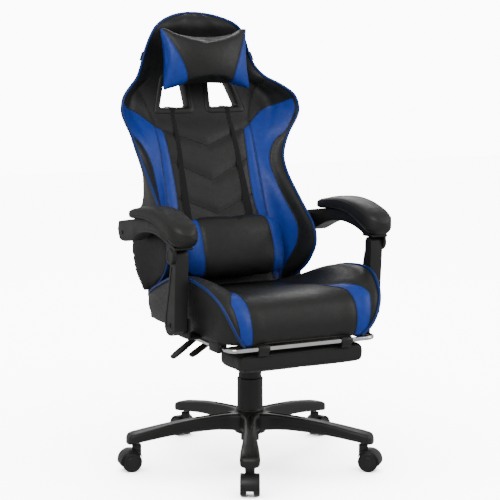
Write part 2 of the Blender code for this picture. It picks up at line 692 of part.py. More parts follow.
def build_seat(chair):
    pan_top = PAN_BOTTOM + PAN_THICKNESS
    pan = block("seat_pan", (-PAN_HALF_WIDTH, PAN_FRONT, PAN_BOTTOM), (PAN_HALF_WIDTH, PAN_REAR, pan_top))
    chair.add(pan, "seat", "plywood")

    floor = pan_top + GAP
    rings = []
    for y, centre, bolster, half, foot in SEAT_SECTIONS:
        rings.append([(x, y, z) for x, z in seat_outline(centre, bolster, half, foot, floor)])
    cushion = loft("seat_cushion", rings)
    for name, side in SIDES:
        inner = side * (PAN_HALF_WIDTH - GAP)
        low, high = sorted((inner, side * 0.30))
        cut(cushion, block(f"seat_hinge_notch_{name}", (low, HINGE_FRONT, PAN_BOTTOM - 0.01), (high, 0.20, 0.60)))
    chair.add(cushion, "seat", "leather")

    top = PAN_BOTTOM - GAP
    flange = top - 0.005
    for name, side in SIDES:
        arm_x = side * ARM_BRACKET_X
        inner_x = arm_x - side * ARM_BRACKET_THICKNESS
        start_x = side * ARM_BRACKET_START
        head = POST_FOOT_Z + ARM_BRACKET_HEAD
        outline = [(start_x, flange), (arm_x, flange), (arm_x, head), (inner_x, head), (inner_x, top),
                   (start_x, top)]
        bracket = prism_y(f"arm_bracket_{name}", outline, POST_FOOT_Y - ARM_BRACKET_HALF_LENGTH,
                          POST_FOOT_Y + ARM_BRACKET_HALF_LENGTH)
        join(bracket, rod(f"post_pin_{name}", (arm_x - side * 0.003, POST_FOOT_Y, POST_FOOT_Z),
                          (side * (POST_INNER_X + 0.028), POST_FOOT_Y, POST_FOOT_Z), ARM_PIN_RADIUS))
        chair.add(bracket, "seat", "steel")

        inner = PAN_HALF_WIDTH + GAP
        outer = CUSHION_LOW_HALF_WIDTH + GAP
        plate = [(HINGE_FRONT, flange), (RECLINE_Y + 0.004, flange)]
        plate += arc((RECLINE_Y, RECLINE_Z), HINGE_EYE_RADIUS, -10.0, 190.0, 10)
        hinge = prism_x(f"recline_bracket_{name}", plate, side * inner, side * outer)
        low, high = sorted((side * HINGE_FLANGE_X, side * (inner + 0.002)))
        join(hinge, block(f"recline_flange_{name}", (low, HINGE_FRONT, flange), (high, RECLINE_Y + 0.001, top)),
             rod(f"recline_pin_{name}", (side * (inner + 0.001), RECLINE_Y, RECLINE_Z),
                 (side * (outer + SIDE_PLATE_THICKNESS), RECLINE_Y, RECLINE_Z), HINGE_PIN_RADIUS))
        chair.add(hinge, "seat", "steel")


# ---- backrest ------------------------------------------------------------------------------------
def back_rear(z):
    """Y of the backrest's rear face."""
    return BACK_REAR_FOOT_Y + BACK_SLOPE * (z - BACK_BOTTOM)


def back_front(z):
    """Y of the cushion's front surface along its middle."""
    return interpolate(BACK_CENTRE, z, 1)


def back_ring(z, half, edge_y, rear_half):
    rear = back_rear(z) - FRAME_THICKNESS - GAP
    if z < SIDE_PLATE_TOP:
        half = min(half, CUSHION_LOW_HALF_WIDTH)
        rear_half = min(rear_half, CUSHION_LOW_HALF_WIDTH)
    centre = back_front(z)
    flat = max(0.45 * half, half - WING_RUN)
    wing = half - 0.35 * (half - flat)
    bulge = min(max(half, rear_half), CUSHION_LOW_HALF_WIDTH) if z < SIDE_PLATE_TOP else max(half, rear_half)
    left = [(flat, centre), (wing, centre + 0.72 * (edge_y - centre)), (half, edge_y),
            (bulge, 0.55 * edge_y + 0.45 * rear), (rear_half, rear)]
    return [(x, y, z) for x, y in left] + [(-x, y, z) for x, y in reversed(left)]


def hole_loop(side, inset, depth):
    """One belt hole's outline at a given depth, drawn in by an inset."""
    centre = Vector((sum(x for x, z in HOLE_CORNERS) / 4.0, sum(z for x, z in HOLE_CORNERS) / 4.0))
    points = []
    for corner in HOLE_CORNERS:
        place = Vector(corner)
        place.x -= inset * math.copysign(1.0, place.x - centre.x)
        place.y -= inset * math.copysign(1.0, place.y - centre.y)
        points.append((side * place.x, depth(place.y), place.y))
    return points


def build_back_frame(chair):
    rings = []
    for z in FRAME_LEVELS:
        half = interpolate(BACK_SECTIONS, z, 3) - FRAME_INSET
        if z <= SIDE_PLATE_TOP:
            half = CUSHION_LOW_HALF_WIDTH + GAP + 0.002
        rear = back_rear(z)
        rings.append([(-half, rear - FRAME_THICKNESS, z), (half, rear - FRAME_THICKNESS, z), (half, rear, z),
                      (-half, rear, z)])
    frame = loft("back_frame", rings)
    inner = CUSHION_LOW_HALF_WIDTH + GAP
    outline = arc((RECLINE_Y, RECLINE_Z), 0.016, 180.0, 340.0, 8)
    outline += [(back_rear(0.50) - 0.001, 0.50), (back_rear(SIDE_PLATE_TOP) - 0.001, SIDE_PLATE_TOP),
                (back_rear(SIDE_PLATE_TOP) - 0.030, SIDE_PLATE_TOP), (ARM_PIVOT_Y - 0.004, ARM_PIVOT_Z + 0.014),
                (ARM_PIVOT_Y - 0.014, ARM_PIVOT_Z), (ARM_PIVOT_Y - 0.004, ARM_PIVOT_Z - 0.014),
                (0.165, 0.590), (0.150, 0.490)]
    for name, side in SIDES:
        join(frame, prism_x(f"side_plate_{name}", outline, side * inner, side * (inner + SIDE_PLATE_THICKNESS)))
        join(frame, rod(f"arm_pin_{name}", (side * (inner + 0.001), ARM_PIVOT_Y, ARM_PIVOT_Z),
                        (side * (ARM_INNER_X + ARM_PIN_REACH), ARM_PIVOT_Y, ARM_PIVOT_Z), ARM_PIN_RADIUS))
        cut(frame, rod(f"hinge_bore_{name}", (side * (inner - 0.02), RECLINE_Y, RECLINE_Z),
                       (side * (inner + 0.02), RECLINE_Y, RECLINE_Z), HINGE_PIN_RADIUS + GAP))
        cut(frame, belt_hole_tool(f"frame_hole_{name}", side))
    chair.add(frame, "backrest", "steel")


def belt_hole_tool(name, side):
    return loft(name, [hole_loop(side, 0.0, lambda z: back_front(z) - HOLE_TOOL_REACH),
                       hole_loop(side, 0.0, lambda z: back_rear(z) + HOLE_TOOL_REACH)])


def bezel_seat(z):
    """Y of the bezel's rim where it lies on the cushion."""
    return back_front(z) - GAP


def bezel_face(z):
    """Y of the bezel's outer face."""
    return back_front(z) - BEZEL_PROUD


def bezel_rear(z):
    """Y of the bezel's rear edge, just inside the backrest's rear face."""
    return back_rear(z) - BEZEL_INSET


def build_backrest(chair):
    cushion = loft("back_cushion", [back_ring(*row) for row in BACK_SECTIONS])
    for name, side in SIDES:
        cut(cushion, belt_hole_tool(f"cushion_hole_{name}", side))
    chair.add(cushion, "backrest", "leather")
    build_back_frame(chair)
    for name, side in SIDES:
        loops = [(GAP, bezel_rear), (GAP, bezel_seat), (-BEZEL_LIP, bezel_seat),
                 (-BEZEL_LIP + 0.002, bezel_face), (BEZEL_WALL, bezel_face), (BEZEL_WALL, bezel_rear)]
        verts = []
        for inset, depth in loops:
            verts += hole_loop(side, inset, depth)
        faces = []
        for level in range(len(loops)):
            after = (level + 1) % len(loops)
            for index in range(4):
                ahead = (index + 1) % 4
                faces.append([4 * level + index, 4 * level + ahead, 4 * after + ahead, 4 * after + index])
        chair.add(make_object(f"belt_bezel_{name}", verts, faces), "backrest", "nylon")


def pillow(name, centre, half, lean_deg):
    """A crowned cushion whose faces draw in to thin edges."""
    rows = 10
    columns = 16
    turn = Matrix.Rotation(math.radians(-lean_deg), 4, "X")
    rings = []
    for row in range(rows + 1):
        across = math.cos(math.pi * row / rows)
        spread = math.sqrt(max(1.0 - across * across, 0.0004))
        ring = []
        for step in range(columns):
            angle = 2.0 * math.pi * step / columns
            edge = math.copysign(abs(math.sin(angle)) ** 0.8, math.sin(angle))
            place = Vector((half[0] * across, half[1] * math.cos(angle) * spread ** 0.8,
                            half[2] * edge * spread ** 0.35))
            ring.append(Vector(centre) + turn @ place)
        rings.append(ring)
    return loft(name, rings)


def build_pillows(chair):
    for name, sizes in (("head_pillow", HEAD_PILLOW), ("lumbar_pillow", LUMBAR_PILLOW)):
        chair.add(pillow(name, sizes["centre"], sizes["half"], sizes["lean_deg"]), "backrest", "pillow")


# ---- armrests ------------------------------------------------------------------------------------
def build_arms(chair):
    for name, side in SIDES:
        inner = side * ARM_INNER_X
        outer = side * (ARM_INNER_X + ARM_WIDTH)
        frame = prism_x(f"arm_frame_{name}", ARM_TOP + ARM_BOTTOM, inner, outer)
        disc_in = side * (POST_INNER_X + POST_WIDTH + GAP)
        disc_out = disc_in + side * DISC_THICKNESS
        lug = arc((POST_TOP_Y, POST_TOP_Z), DISC_RADIUS, 150.0, 390.0, 14) + list(DISC_NECK)
        join(frame, prism_x(f"post_disc_{name}", lug, disc_in, disc_out),
             rod(f"disc_pin_{name}", (disc_in + side * 0.001, POST_TOP_Y, POST_TOP_Z),
                 (side * (POST_INNER_X + 0.008), POST_TOP_Y, POST_TOP_Z), HINGE_PIN_RADIUS))
        cut(frame, rod(f"arm_bore_{name}", (side * (ARM_INNER_X - 0.02), ARM_PIVOT_Y, ARM_PIVOT_Z),
                       (side * (ARM_INNER_X + ARM_PIN_REACH + PIN_PLAY), ARM_PIVOT_Y, ARM_PIVOT_Z),
                       ARM_PIN_RADIUS + GAP))
        chair.add(frame, f"arm_{name}", "nylon")

        underside = [(y, interpolate(ARM_TOP, y, 1) + GAP) for y in PAD_UNDERSIDE]
        outline = list(PAD_TOP) + underside + [PAD_LIP]
        pad = prism_x(f"arm_pad_{name}", outline, side * (PAD_CENTRE_X - PAD_HALF_WIDTH),
                      side * (PAD_CENTRE_X + PAD_HALF_WIDTH))
        chair.add(pad, f"arm_{name}", "leather")

        top = arc((POST_TOP_Y, POST_TOP_Z), POST_BOSS_RADIUS, 0.0, 180.0, 10)
        post = prism_x(f"arm_post_{name}", list(POST_REAR) + top + list(POST_FRONT),
                       side * POST_INNER_X, side * (POST_INNER_X + POST_WIDTH))
        cut(post, rod(f"post_top_bore_{name}", (side * (POST_INNER_X + 0.0075), POST_TOP_Y, POST_TOP_Z),
                      (side * (POST_INNER_X + POST_WIDTH + 0.02), POST_TOP_Y, POST_TOP_Z), HINGE_PIN_RADIUS + PIN_PLAY),
            rod(f"post_foot_bore_{name}", (side * (POST_INNER_X - 0.02), POST_FOOT_Y, POST_FOOT_Z),
                (side * (POST_INNER_X + 0.0285), POST_FOOT_Y, POST_FOOT_Z), ARM_PIN_RADIUS + PIN_PLAY))
        chair.add(post, f"post_{name}", "nylon")


# ---- footrest ------------------------------------------------------------------------------------
def build_footrest(chair):
    corner = [(RAIL_HALF_SPAN - BAR_CORNER + x, BAR_Y + BAR_CORNER - y)
              for x, y in arc((0.0, 0.0), BAR_CORNER, 90.0, 0.0, 5)]
    half = [(RAIL_HALF_SPAN, RAIL_REAR)] + list(reversed(corner))
    path = [(x, y, RAIL_Z) for x, y in half] + [(-x, y, RAIL_Z) for x, y in reversed(half)]
    chair.add(tube("footrest_frame", path, RAIL_RADIUS, 12), "footrest_slide", "chrome")

    for name, side in SIDES:
        x = side * RAIL_HALF_SPAN
        guide = block(f"rail_guide_{name}", (x - GUIDE_HALF_WIDTH, GUIDE_FRONT, RAIL_Z - GUIDE_DROP),
                      (x + GUIDE_HALF_WIDTH, GUIDE_FRONT + GUIDE_LENGTH, PAN_BOTTOM - GAP))
        cut(guide, rod(f"guide_bore_{name}", (x, GUIDE_FRONT - 0.01, RAIL_Z),
                       (x, GUIDE_FRONT + GUIDE_LENGTH + 0.01, RAIL_Z), RAIL_RADIUS + PIN_PLAY))
        chair.add(guide, "seat", "nylon")

    front = BAR_Y + REST_SETBACK
    pad = block("footrest_pad", (-REST_HALF_WIDTH, front, REST_TOP - REST_THICKNESS),
                (REST_HALF_WIDTH, front + REST_DEPTH, REST_TOP))
    for name, side in SIDES:
        low = side * LUG_X - LUG_LENGTH / 2.0
        high = side * LUG_X + LUG_LENGTH / 2.0
        join(pad, rod(f"lug_{name}", (low, BAR_Y, RAIL_Z), (high, BAR_Y, RAIL_Z), LUG_RADIUS))
        join(pad, block(f"lug_web_{name}", (low + 0.001, BAR_Y - 0.006, REST_TOP - 0.006),
                        (high - 0.001, BAR_Y + 0.009, RAIL_Z - RAIL_RADIUS)))
    cut(pad, rod("hinge_bore", (-RAIL_HALF_SPAN, BAR_Y, RAIL_Z), (RAIL_HALF_SPAN, BAR_Y, RAIL_Z),
                 RAIL_RADIUS + PIN_PLAY))
    chair.add(pad, "footrest_flip", "leather")


def main():
    clear_scene()
    chair = Chair()
    build_base(chair)
    build_casters(chair)
    build_gas_lift(chair)
    build_mechanism(chair)
    build_lever(chair, "height_lever", HEIGHT_LEVER_PATH, HEIGHT_LEVER_TIP)
    build_lever(chair, "recline_lever", RECLINE_LEVER_PATH, RECLINE_LEVER_TIP)
    build_seat(chair)
    build_backrest(chair)
    build_pillows(chair)
    build_arms(chair)
    build_footrest(chair)


main()
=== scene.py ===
"""Gaming chair: upholstery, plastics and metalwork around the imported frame."""
import json
import math

import bmesh
import bpy
import numpy as np
from bpy.props import FloatProperty, FloatVectorProperty, PointerProperty
from mathutils import Matrix, Vector
from mathutils.bvhtree import BVHTree
from mathutils.kdtree import KDTree


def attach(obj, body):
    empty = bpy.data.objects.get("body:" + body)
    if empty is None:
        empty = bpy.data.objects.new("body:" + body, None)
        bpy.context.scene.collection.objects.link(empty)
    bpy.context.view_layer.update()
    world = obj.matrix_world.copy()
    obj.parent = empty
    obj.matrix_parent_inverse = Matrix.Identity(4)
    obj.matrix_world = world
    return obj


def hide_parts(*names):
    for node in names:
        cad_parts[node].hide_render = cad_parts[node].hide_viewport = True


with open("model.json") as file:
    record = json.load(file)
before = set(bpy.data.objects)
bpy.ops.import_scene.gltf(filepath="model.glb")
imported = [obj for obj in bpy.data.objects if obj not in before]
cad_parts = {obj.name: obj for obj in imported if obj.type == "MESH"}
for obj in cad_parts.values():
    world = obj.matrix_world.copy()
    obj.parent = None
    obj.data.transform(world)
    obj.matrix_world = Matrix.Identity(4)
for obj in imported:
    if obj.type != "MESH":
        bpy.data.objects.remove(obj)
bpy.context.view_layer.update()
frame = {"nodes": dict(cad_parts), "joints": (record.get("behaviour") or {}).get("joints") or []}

bl_info = {
    "name": "Gaming chair",
    "version": (1, 0, 0),
    "blender": (4, 5, 0),
    "location": "View3D > Sidebar > Chair",
    "description": "Builds the upholstery, plastics and metalwork of a reclining gaming chair",
    "category": "Add Mesh",
}

JOINTS = {joint["name"]: joint for joint in frame["joints"]}
AXIS = Vector(JOINTS["swivel"]["pos_m"])        # a point of the swivel column's axis
AXIS.z = 0.0
SIDES = (("left", 1), ("right", -1))


def linear(code):
    """Linear colour of an sRGB hex code."""
    values = []
    for start in (0, 2, 4):
        value = int(code[start:start + 2], 16) / 255.0
        values.append(value / 12.92 if value <= 0.04045 else ((value + 0.055) / 1.055) ** 2.4)
    return tuple(values)


# ---- settings --------------------------------------------------------------------------------------
def colour(name, description, code):
    return FloatVectorProperty(name=name, description=description, subtype="COLOR", size=3, min=0.0, max=1.0,
                               default=linear(code))


def length(name, description, default):
    return FloatProperty(name=name, description=description, default=default, min=0.0, unit="LENGTH",
                         precision=4)


class ChairColours(bpy.types.PropertyGroup):
    black_leather: colour("Black leather", "Main upholstery", "1e1f1d")
    blue_leather: colour("Blue leather", "Upholstery of the side panels", "0e3a9e")
    blue_piping: colour("Blue piping", "Welt along the edges", "1b50b8")
    plastic: colour("Plastic", "Base, arms and covers", "1b1c1a")
    arm_foam: colour("Arm pad", "Soft moulded arm pads", "1f201e")
    webbing: colour("Webbing", "Pillow straps", "0e0e0e")
    chrome: colour("Chrome", "Footrest rail", "e6e7e8")
    steel: colour("Steel", "Ground steel of axles and gas lift", "8e9092")
    powder_coat: colour("Powder coat", "Mechanism and brackets", "1c1c1c")
    plywood: colour("Plywood", "Seat board", "a5814f")
    floor: colour("Floor", "Ground under the chair", "f6f6f6")


class ChairSizes(bpy.types.PropertyGroup):
    piping_radius: length("Piping radius", "Radius of the welt", 0.0040)
    puff: length("Panel fullness", "Height of the padding between two seams", 0.0040)
    stitch: length("Stitch", "Length of one stitch of the seams", 0.0045)
    thread: length("Thread", "Radius of the seam thread", 0.0005)
    strap_width: length("Strap width", "Width of the lumbar pillow's straps", 0.018)
    head_strap_width: length("Head strap width", "Width of the head pillow's elastic", 0.024)
    camera_distance: length("Camera distance", "From the column to the camera along the floor", 3.9998)
    camera_height: length("Camera height", "Height of the camera above the floor", 1.1258)


# ---- small tools -----------------------------------------------------------------------------------
def spline(points, steps):
    """A smooth curve through the points, with a number of steps in each span."""
    points = [np.array(point, float) for point in points]
    points = [2 * points[0] - points[1]] + points + [2 * points[-1] - points[-2]]
    curve = []
    for a, b, c, d in zip(points, points[1:], points[2:], points[3:]):
        for step in range(steps):
            t = step / steps
            curve.append(0.5 * (2 * b + (c - a) * t + (2 * a - 5 * b + 4 * c - d) * t ** 2
                                + (3 * b - a - 3 * c + d) * t ** 3))
    curve.append(points[-2])
    return np.array(curve)


def resample(curve, count):
    """The curve at evenly spaced lengths."""
    curve = np.asarray(curve, float)
    along = np.concatenate([[0.0], np.cumsum(np.linalg.norm(np.diff(curve, axis=0), axis=1))])
    places = np.linspace(0.0, along[-1], count)
    return np.stack([np.interp(places, along, curve[:, axis]) for axis in range(curve.shape[1])], axis=1)


fine_tables = {}


def smooth_table(rows, at):
    """Columns of a table of rows, read at one or more places along its first column on smooth curves."""
    if rows not in fine_tables:
        fine = spline(rows, 12)
        fine_tables[rows] = fine[np.argsort(fine[:, 0])]
    fine = fine_tables[rows]
    columns = [np.interp(at, fine[:, 0], fine[:, column]) for column in range(1, fine.shape[1])]
    return [float(column) for column in columns] if np.isscalar(at) else columns


def mesh_object(name, verts, faces, material=None):
    """A mesh object in place; points are given from the swivel axis."""
    mesh = bpy.data.meshes.new(name)
    mesh.from_pydata([tuple(Vector(point) + AXIS) for point in verts], [], faces)
    shape = bmesh.new()
    shape.from_mesh(mesh)
    bmesh.ops.remove_doubles(shape, verts=shape.verts, dist=1e-6)
    bmesh.ops.recalc_face_normals(shape, faces=shape.faces)
    shape.to_mesh(mesh)
    shape.free()
    item = bpy.data.objects.new(name, mesh)
    bpy.context.scene.collection.objects.link(item)
    if material:
        mesh.materials.append(material)
    mesh.shade_smooth()
    return item


def loft(name, rings, material=None, caps=True):
    """A skin through rings of equally many points, with closed ends."""
    rings = [np.asarray(ring, float) for ring in rings]
    count = len(rings[0])
    verts = np.concatenate(rings)
    faces = []
    for level in range(len(rings) - 1):
        start = level * count
        for index in range(count):
            after = (index + 1) % count
            faces.append((start + index, start + after, start + count + after, start + count + index))
    if caps:
        faces.append(tuple(range(count)))
        faces.append(tuple(range(len(verts) - count, len(verts))))
    return mesh_object(name, verts, faces, material)


# ---- backrest --------------------------------------------------------------------------------------
# height, welt half width, welt y, rear half width, front y on the middle, rear y
BACK_ROWS = (
    (0.466, 0.210, 0.155, 0.236, 0.125, 0.172),
    (0.475, 0.213, 0.144, 0.241, 0.128, 0.175),
    (0.514, 0.217, 0.081, 0.251, 0.142, 0.191),
    (0.556, 0.221, 0.045, 0.252, 0.157, 0.206),
    (0.590, 0.225, 0.037, 0.250, 0.168, 0.218),
    (0.630, 0.225, 0.050, 0.242, 0.182, 0.232),
    (0.665, 0.222, 0.084, 0.229, 0.194, 0.245),
    (0.695, 0.218, 0.112, 0.204, 0.205, 0.256),
    (0.757, 0.215, 0.176, 0.193, 0.228, 0.278),
    (0.798, 0.218, 0.210, 0.195, 0.243, 0.293),
    (0.830, 0.225, 0.224, 0.200, 0.254, 0.304),
    (0.876, 0.242, 0.227, 0.209, 0.274, 0.321),
    (0.920, 0.265, 0.223, 0.217, 0.299, 0.337),
    (0.949, 0.273, 0.225, 0.214, 0.3115, 0.347),
    (0.985, 0.263, 0.234, 0.198, 0.3245, 0.360),
    (1.014, 0.231, 0.260, 0.173, 0.335, 0.370),
    (1.035, 0.200, 0.291, 0.155, 0.342, 0.378),
    (1.065, 0.178, 0.314, 0.139, 0.3475, 0.388),
    (1.101, 0.164, 0.323, 0.123, 0.3505, 0.398),
    (1.145, 0.147, 0.321, 0.099, 0.346, 0.405),
    (1.177, 0.127, 0.321, 0.077, 0.336, 0.406),
    (1.198, 0.092, 0.336, 0.052, 0.339, 0.402),
    (1.210, 0.052, 0.352, 0.026, 0.352, 0.396),
    (1.215, 0.014, 0.361, 0.010, 0.361, 0.388),
)
WING_RUN = 0.066


def back_half_ring(z):
    """Half a level section of the backrest's skin: middle of the front to the welt, then the rest."""
    half, edge, rear_half, centre, rear = smooth_table(BACK_ROWS, z)
    flat = max(0.45 * half, half - WING_RUN)
    front = spline([(0.0, centre), (0.55 * flat, centre), (flat, centre - 0.003 - 0.03 * (centre - edge)),
                    (flat + 0.45 * (half - flat), centre + 0.40 * (edge - centre)),
                    (half - 0.14 * (half - flat), centre + 0.84 * (edge - centre)), (half, edge)], 12)
    depth = rear - edge
    corner = min(0.012, 0.3 * depth)
    back = spline([(half, edge), (half + 0.35 * (rear_half - half) + 0.002, edge + 0.40 * depth),
                   (rear_half + 0.003, rear - 1.6 * corner), (rear_half - 0.3 * corner, rear - 0.35 * corner),
                   (rear_half - 1.4 * corner, rear), (0.55 * rear_half, rear + 0.002), (0.0, rear + 0.003)],
                  10)
    return resample(front, FRONT_COLUMNS + 1), resample(back, BACK_COLUMNS + 1)


FRONT_COLUMNS = 44
BACK_COLUMNS = 36
ROW_STEP = 0.006


def back_levels():
    low, high = BACK_ROWS[0][0], BACK_ROWS[-1][0]
    count = int(round((high - low) / ROW_STEP))
    levels = [low + (high - low) * index / count for index in range(count + 1)]
    return levels[:-3] + [high - 0.009, high - 0.006, high - 0.003, high - 0.001, high]


def back_skin():
    rings = []
    for z in back_levels():
        front, back = back_half_ring(z)
        half = [(x, y, z) for x, y in front] + [(x, y, z) for x, y in back[1:]]
        other = [(-x, y, z) for x, y, z in reversed(half[1:-1])]
        rings.append(half + other)
    return loft("back_upholstery", rings)


# ---- seat ------------------------------------------------------------------------------------------
# y, z along the middle of the seat's top
SEAT_MIDDLE = ((0.150, 0.462), (0.125, 0.468), (0.060, 0.472), (-0.030, 0.482), (-0.110, 0.493),
               (-0.180, 0.498), (-0.235, 0.496), (-0.268, 0.486), (-0.288, 0.470), (-0.299, 0.448),
               (-0.304, 0.425), (-0.302, 0.403), (-0.294, 0.386))
# half x, y, z of the seat's piped edge and of its foot on the pan
SEAT_WELT = ((0.231, 0.145, 0.462), (0.236, 0.105, 0.480), (0.240, 0.066, 0.493), (0.246, -0.007, 0.518),
             (0.254, -0.063, 0.532), (0.258, -0.125, 0.539), (0.257, -0.170, 0.539), (0.254, -0.205, 0.534),
             (0.244, -0.245, 0.520), (0.232, -0.282, 0.495), (0.222, -0.300, 0.468), (0.208, -0.309, 0.436),
             (0.192, -0.308, 0.408), (0.172, -0.300, 0.384))
SEAT_FOOT = ((0.222, 0.136, 0.392), (0.225, 0.110, 0.391), (0.227, 0.045, 0.391), (0.228, -0.030, 0.391),
             (0.228, -0.100, 0.391), (0.228, -0.160, 0.391), (0.227, -0.200, 0.391), (0.225, -0.230, 0.391),
             (0.220, -0.252, 0.390), (0.213, -0.266, 0.390), (0.203, -0.278, 0.389), (0.190, -0.287, 0.388),
             (0.170, -0.294, 0.387))
SEAT_ROWS = 110
SEAT_TOP_COLUMNS = 44
SEAT_SIDE_COLUMNS = 14
SEAT_FLOOR_COLUMNS = 10


def seat_skin():
    middle = resample(spline([(0.0,) + row for row in SEAT_MIDDLE], 12), SEAT_ROWS)
    welt = resample(spline(SEAT_WELT, 12), SEAT_ROWS)
    foot = resample(spline(SEAT_FOOT, 12), SEAT_ROWS)
    rings = []
    for row in range(SEAT_ROWS):
        edge = welt[row]
        half = []
        for step in range(SEAT_TOP_COLUMNS + 1):
            share = step / SEAT_TOP_COLUMNS
            rise = min(max((share - 0.50) / 0.40, 0.0), 1.0)
            rise = rise * rise * (3.0 - 2.0 * rise)
            point = middle[row] + rise * (edge - middle[row])
            point[0] = share * edge[0]
            half.append(tuple(point))
        bulge = 0.012 * math.sin(math.pi * min(1.0, row / SEAT_ROWS * 1.0 + 0.25))
        for step in range(1, SEAT_SIDE_COLUMNS + 1):
            share = step / SEAT_SIDE_COLUMNS
            point = edge + share * (foot[row] - edge)
            point[0] += bulge * math.sin(math.pi * share)
            half.append(tuple(point))
        for step in range(1, SEAT_FLOOR_COLUMNS + 1):
            share = step / SEAT_FLOOR_COLUMNS
            point = foot[row].copy()
            point[0] *= 1.0 - share
            point[2] += 0.001 * share
            half.append(tuple(point))
        other = [(-x, y, z) for x, y, z in reversed(half[1:-1])]
        rings.append(half + other)
    return loft("seat_upholstery", rings)


# ---- node trees ------------------------------------------------------------------------------------
def add(tree, kind, links=None, values=None, **settings):
    """A node with its settings, its unlinked values and the sockets that feed it."""
    item = tree.nodes.new(kind)
    for key, value in settings.items():
        setattr(item, key, value)
    for socket, value in (values or {}).items():
        item.inputs[socket].default_value = value
    for socket, source in (links or {}).items():
        tree.links.new(source, item.inputs[socket])
    return item


def new_material(name, base, roughness, metallic=0.0, **sockets):
    """A Principled material with constant values on the shader's own sockets."""
    material = bpy.data.materials.new(name)
    material.use_nodes = True
    tree = material.node_tree
    shader = tree.nodes["Principled BSDF"]
    shader.inputs["Base Color"].default_value = (*base, 1.0)
    shader.inputs["Roughness"].default_value = roughness
    shader.inputs["Metallic"].default_value = metallic
    for socket, value in sockets.items():
        shader.inputs[socket.replace("_", " ")].default_value = value
    material.diffuse_color = (*base, 1.0)
    return material, tree, shader


def object_coordinates(tree):
    return add(tree, "ShaderNodeTexCoord").outputs["Object"]


def vary(tree, source, scale, low, high, detail=3.0):
    """Noise of a given number of cycles per metre, spread over a range."""
    noise = add(tree, "ShaderNodeTexNoise", {"Vector": source}, {"Scale": scale, "Detail": detail})
    return add(tree, "ShaderNodeMapRange", {"Value": noise.outputs["Fac"]},
               {"From Min": 0.3, "From Max": 0.7, "To Min": low, "To Max": high}).outputs["Result"]


def tinted(tree, base, factor):
    """Base colour times a varying grey, as a colour socket."""
    mix = add(tree, "ShaderNodeVectorMath", {1: factor}, operation="MULTIPLY")
    if isinstance(base, tuple):
        mix.inputs[0].default_value = base
    else:
        tree.links.new(base, mix.inputs[0])
    return mix.outputs["Vector"]


GRAIN = 0.0011              # pebble of the embossed grain
MILLIMETRE = 0.001


def leather(name, black, blue=None):
    """Grained polyurethane leather: satin, with a fine pebble; blue where attribute "blue" is above zero."""
    material, tree, shader = new_material(name, black, 0.46, Specular_IOR_Level=0.42)
    place = object_coordinates(tree)
    cells = add(tree, "ShaderNodeTexVoronoi", {"Vector": place}, {"Scale": 1.0 / GRAIN},
                feature="DISTANCE_TO_EDGE")
    creases = add(tree, "ShaderNodeMapRange", {"Value": cells.outputs["Distance"]},
                  {"From Min": 0.0, "From Max": 0.18, "To Min": 0.0, "To Max": 1.0})
    waves = add(tree, "ShaderNodeTexNoise", {"Vector": place}, {"Scale": 28.0, "Detail": 4.0})
    seam = add(tree, "ShaderNodeAttribute", attribute_name="seam")
    groove = add(tree, "ShaderNodeMapRange", {"Value": seam.outputs["Fac"]},
                 {"From Min": 0.0, "From Max": 1.2 * MILLIMETRE, "To Min": 0.0, "To Max": 1.0},
                 interpolation_type="SMOOTHSTEP")
    base = black
    if blue:
        side = add(tree, "ShaderNodeAttribute", attribute_name="blue")
        mask = add(tree, "ShaderNodeMapRange", {"Value": side.outputs["Fac"]},
                   {"From Min": -0.3 * MILLIMETRE, "From Max": 0.3 * MILLIMETRE})
        mix = add(tree, "ShaderNodeMix", {0: mask.outputs["Result"]}, data_type="RGBA")
        mix.inputs[6].default_value = (*black, 1.0)
        mix.inputs[7].default_value = (*blue, 1.0)
        base = mix.outputs[2]
    mottled = tinted(tree, base, vary(tree, place, 60.0, 0.88, 1.12))
    # Base colour darkened down to 35% along the seams (attribute "seam"): painted shade in the seam grooves.
    seam_shaded = tinted(tree, mottled, add(tree, "ShaderNodeMapRange", {"Value": groove.outputs["Result"]},
                                       {"To Min": 0.35, "To Max": 1.0}).outputs["Result"])
    tree.links.new(seam_shaded, shader.inputs["Base Color"])
    tree.links.new(vary(tree, place, 110.0, 0.40, 0.52), shader.inputs["Roughness"])
    soft = add(tree, "ShaderNodeBump", {"Height": waves.outputs["Fac"]},
               {"Strength": 0.30, "Distance": 0.0022})
    cut = add(tree, "ShaderNodeBump", {"Height": groove.outputs["Result"], "Normal": soft.outputs["Normal"]},
              {"Strength": 0.8, "Distance": 0.0009})
    fine = add(tree, "ShaderNodeBump", {"Height": creases.outputs["Result"], "Normal": cut.outputs["Normal"]},
               {"Strength": 0.22, "Distance": 0.00016})
    tree.links.new(fine.outputs["Normal"], shader.inputs["Normal"])
    return material


def moulded(name, base, roughness, texture=0.0008, relief=0.00008):
    """Injection-moulded plastic with a spark-eroded texture."""
    material, tree, shader = new_material(name, base, roughness, Specular_IOR_Level=0.45)
    place = object_coordinates(tree)
    tree.links.new(tinted(tree, base, vary(tree, place, 45.0, 0.90, 1.10)), shader.inputs["Base Color"])
    tree.links.new(vary(tree, place, 30.0, roughness - 0.05, roughness + 0.06), shader.inputs["Roughness"])
    grain = add(tree, "ShaderNodeTexNoise", {"Vector": place}, {"Scale": 1.0 / texture, "Detail": 2.0})
    bump = add(tree, "ShaderNodeBump", {"Height": grain.outputs["Fac"]},
               {"Strength": 0.5, "Distance": relief})
    tree.links.new(bump.outputs["Normal"], shader.inputs["Normal"])
    return material


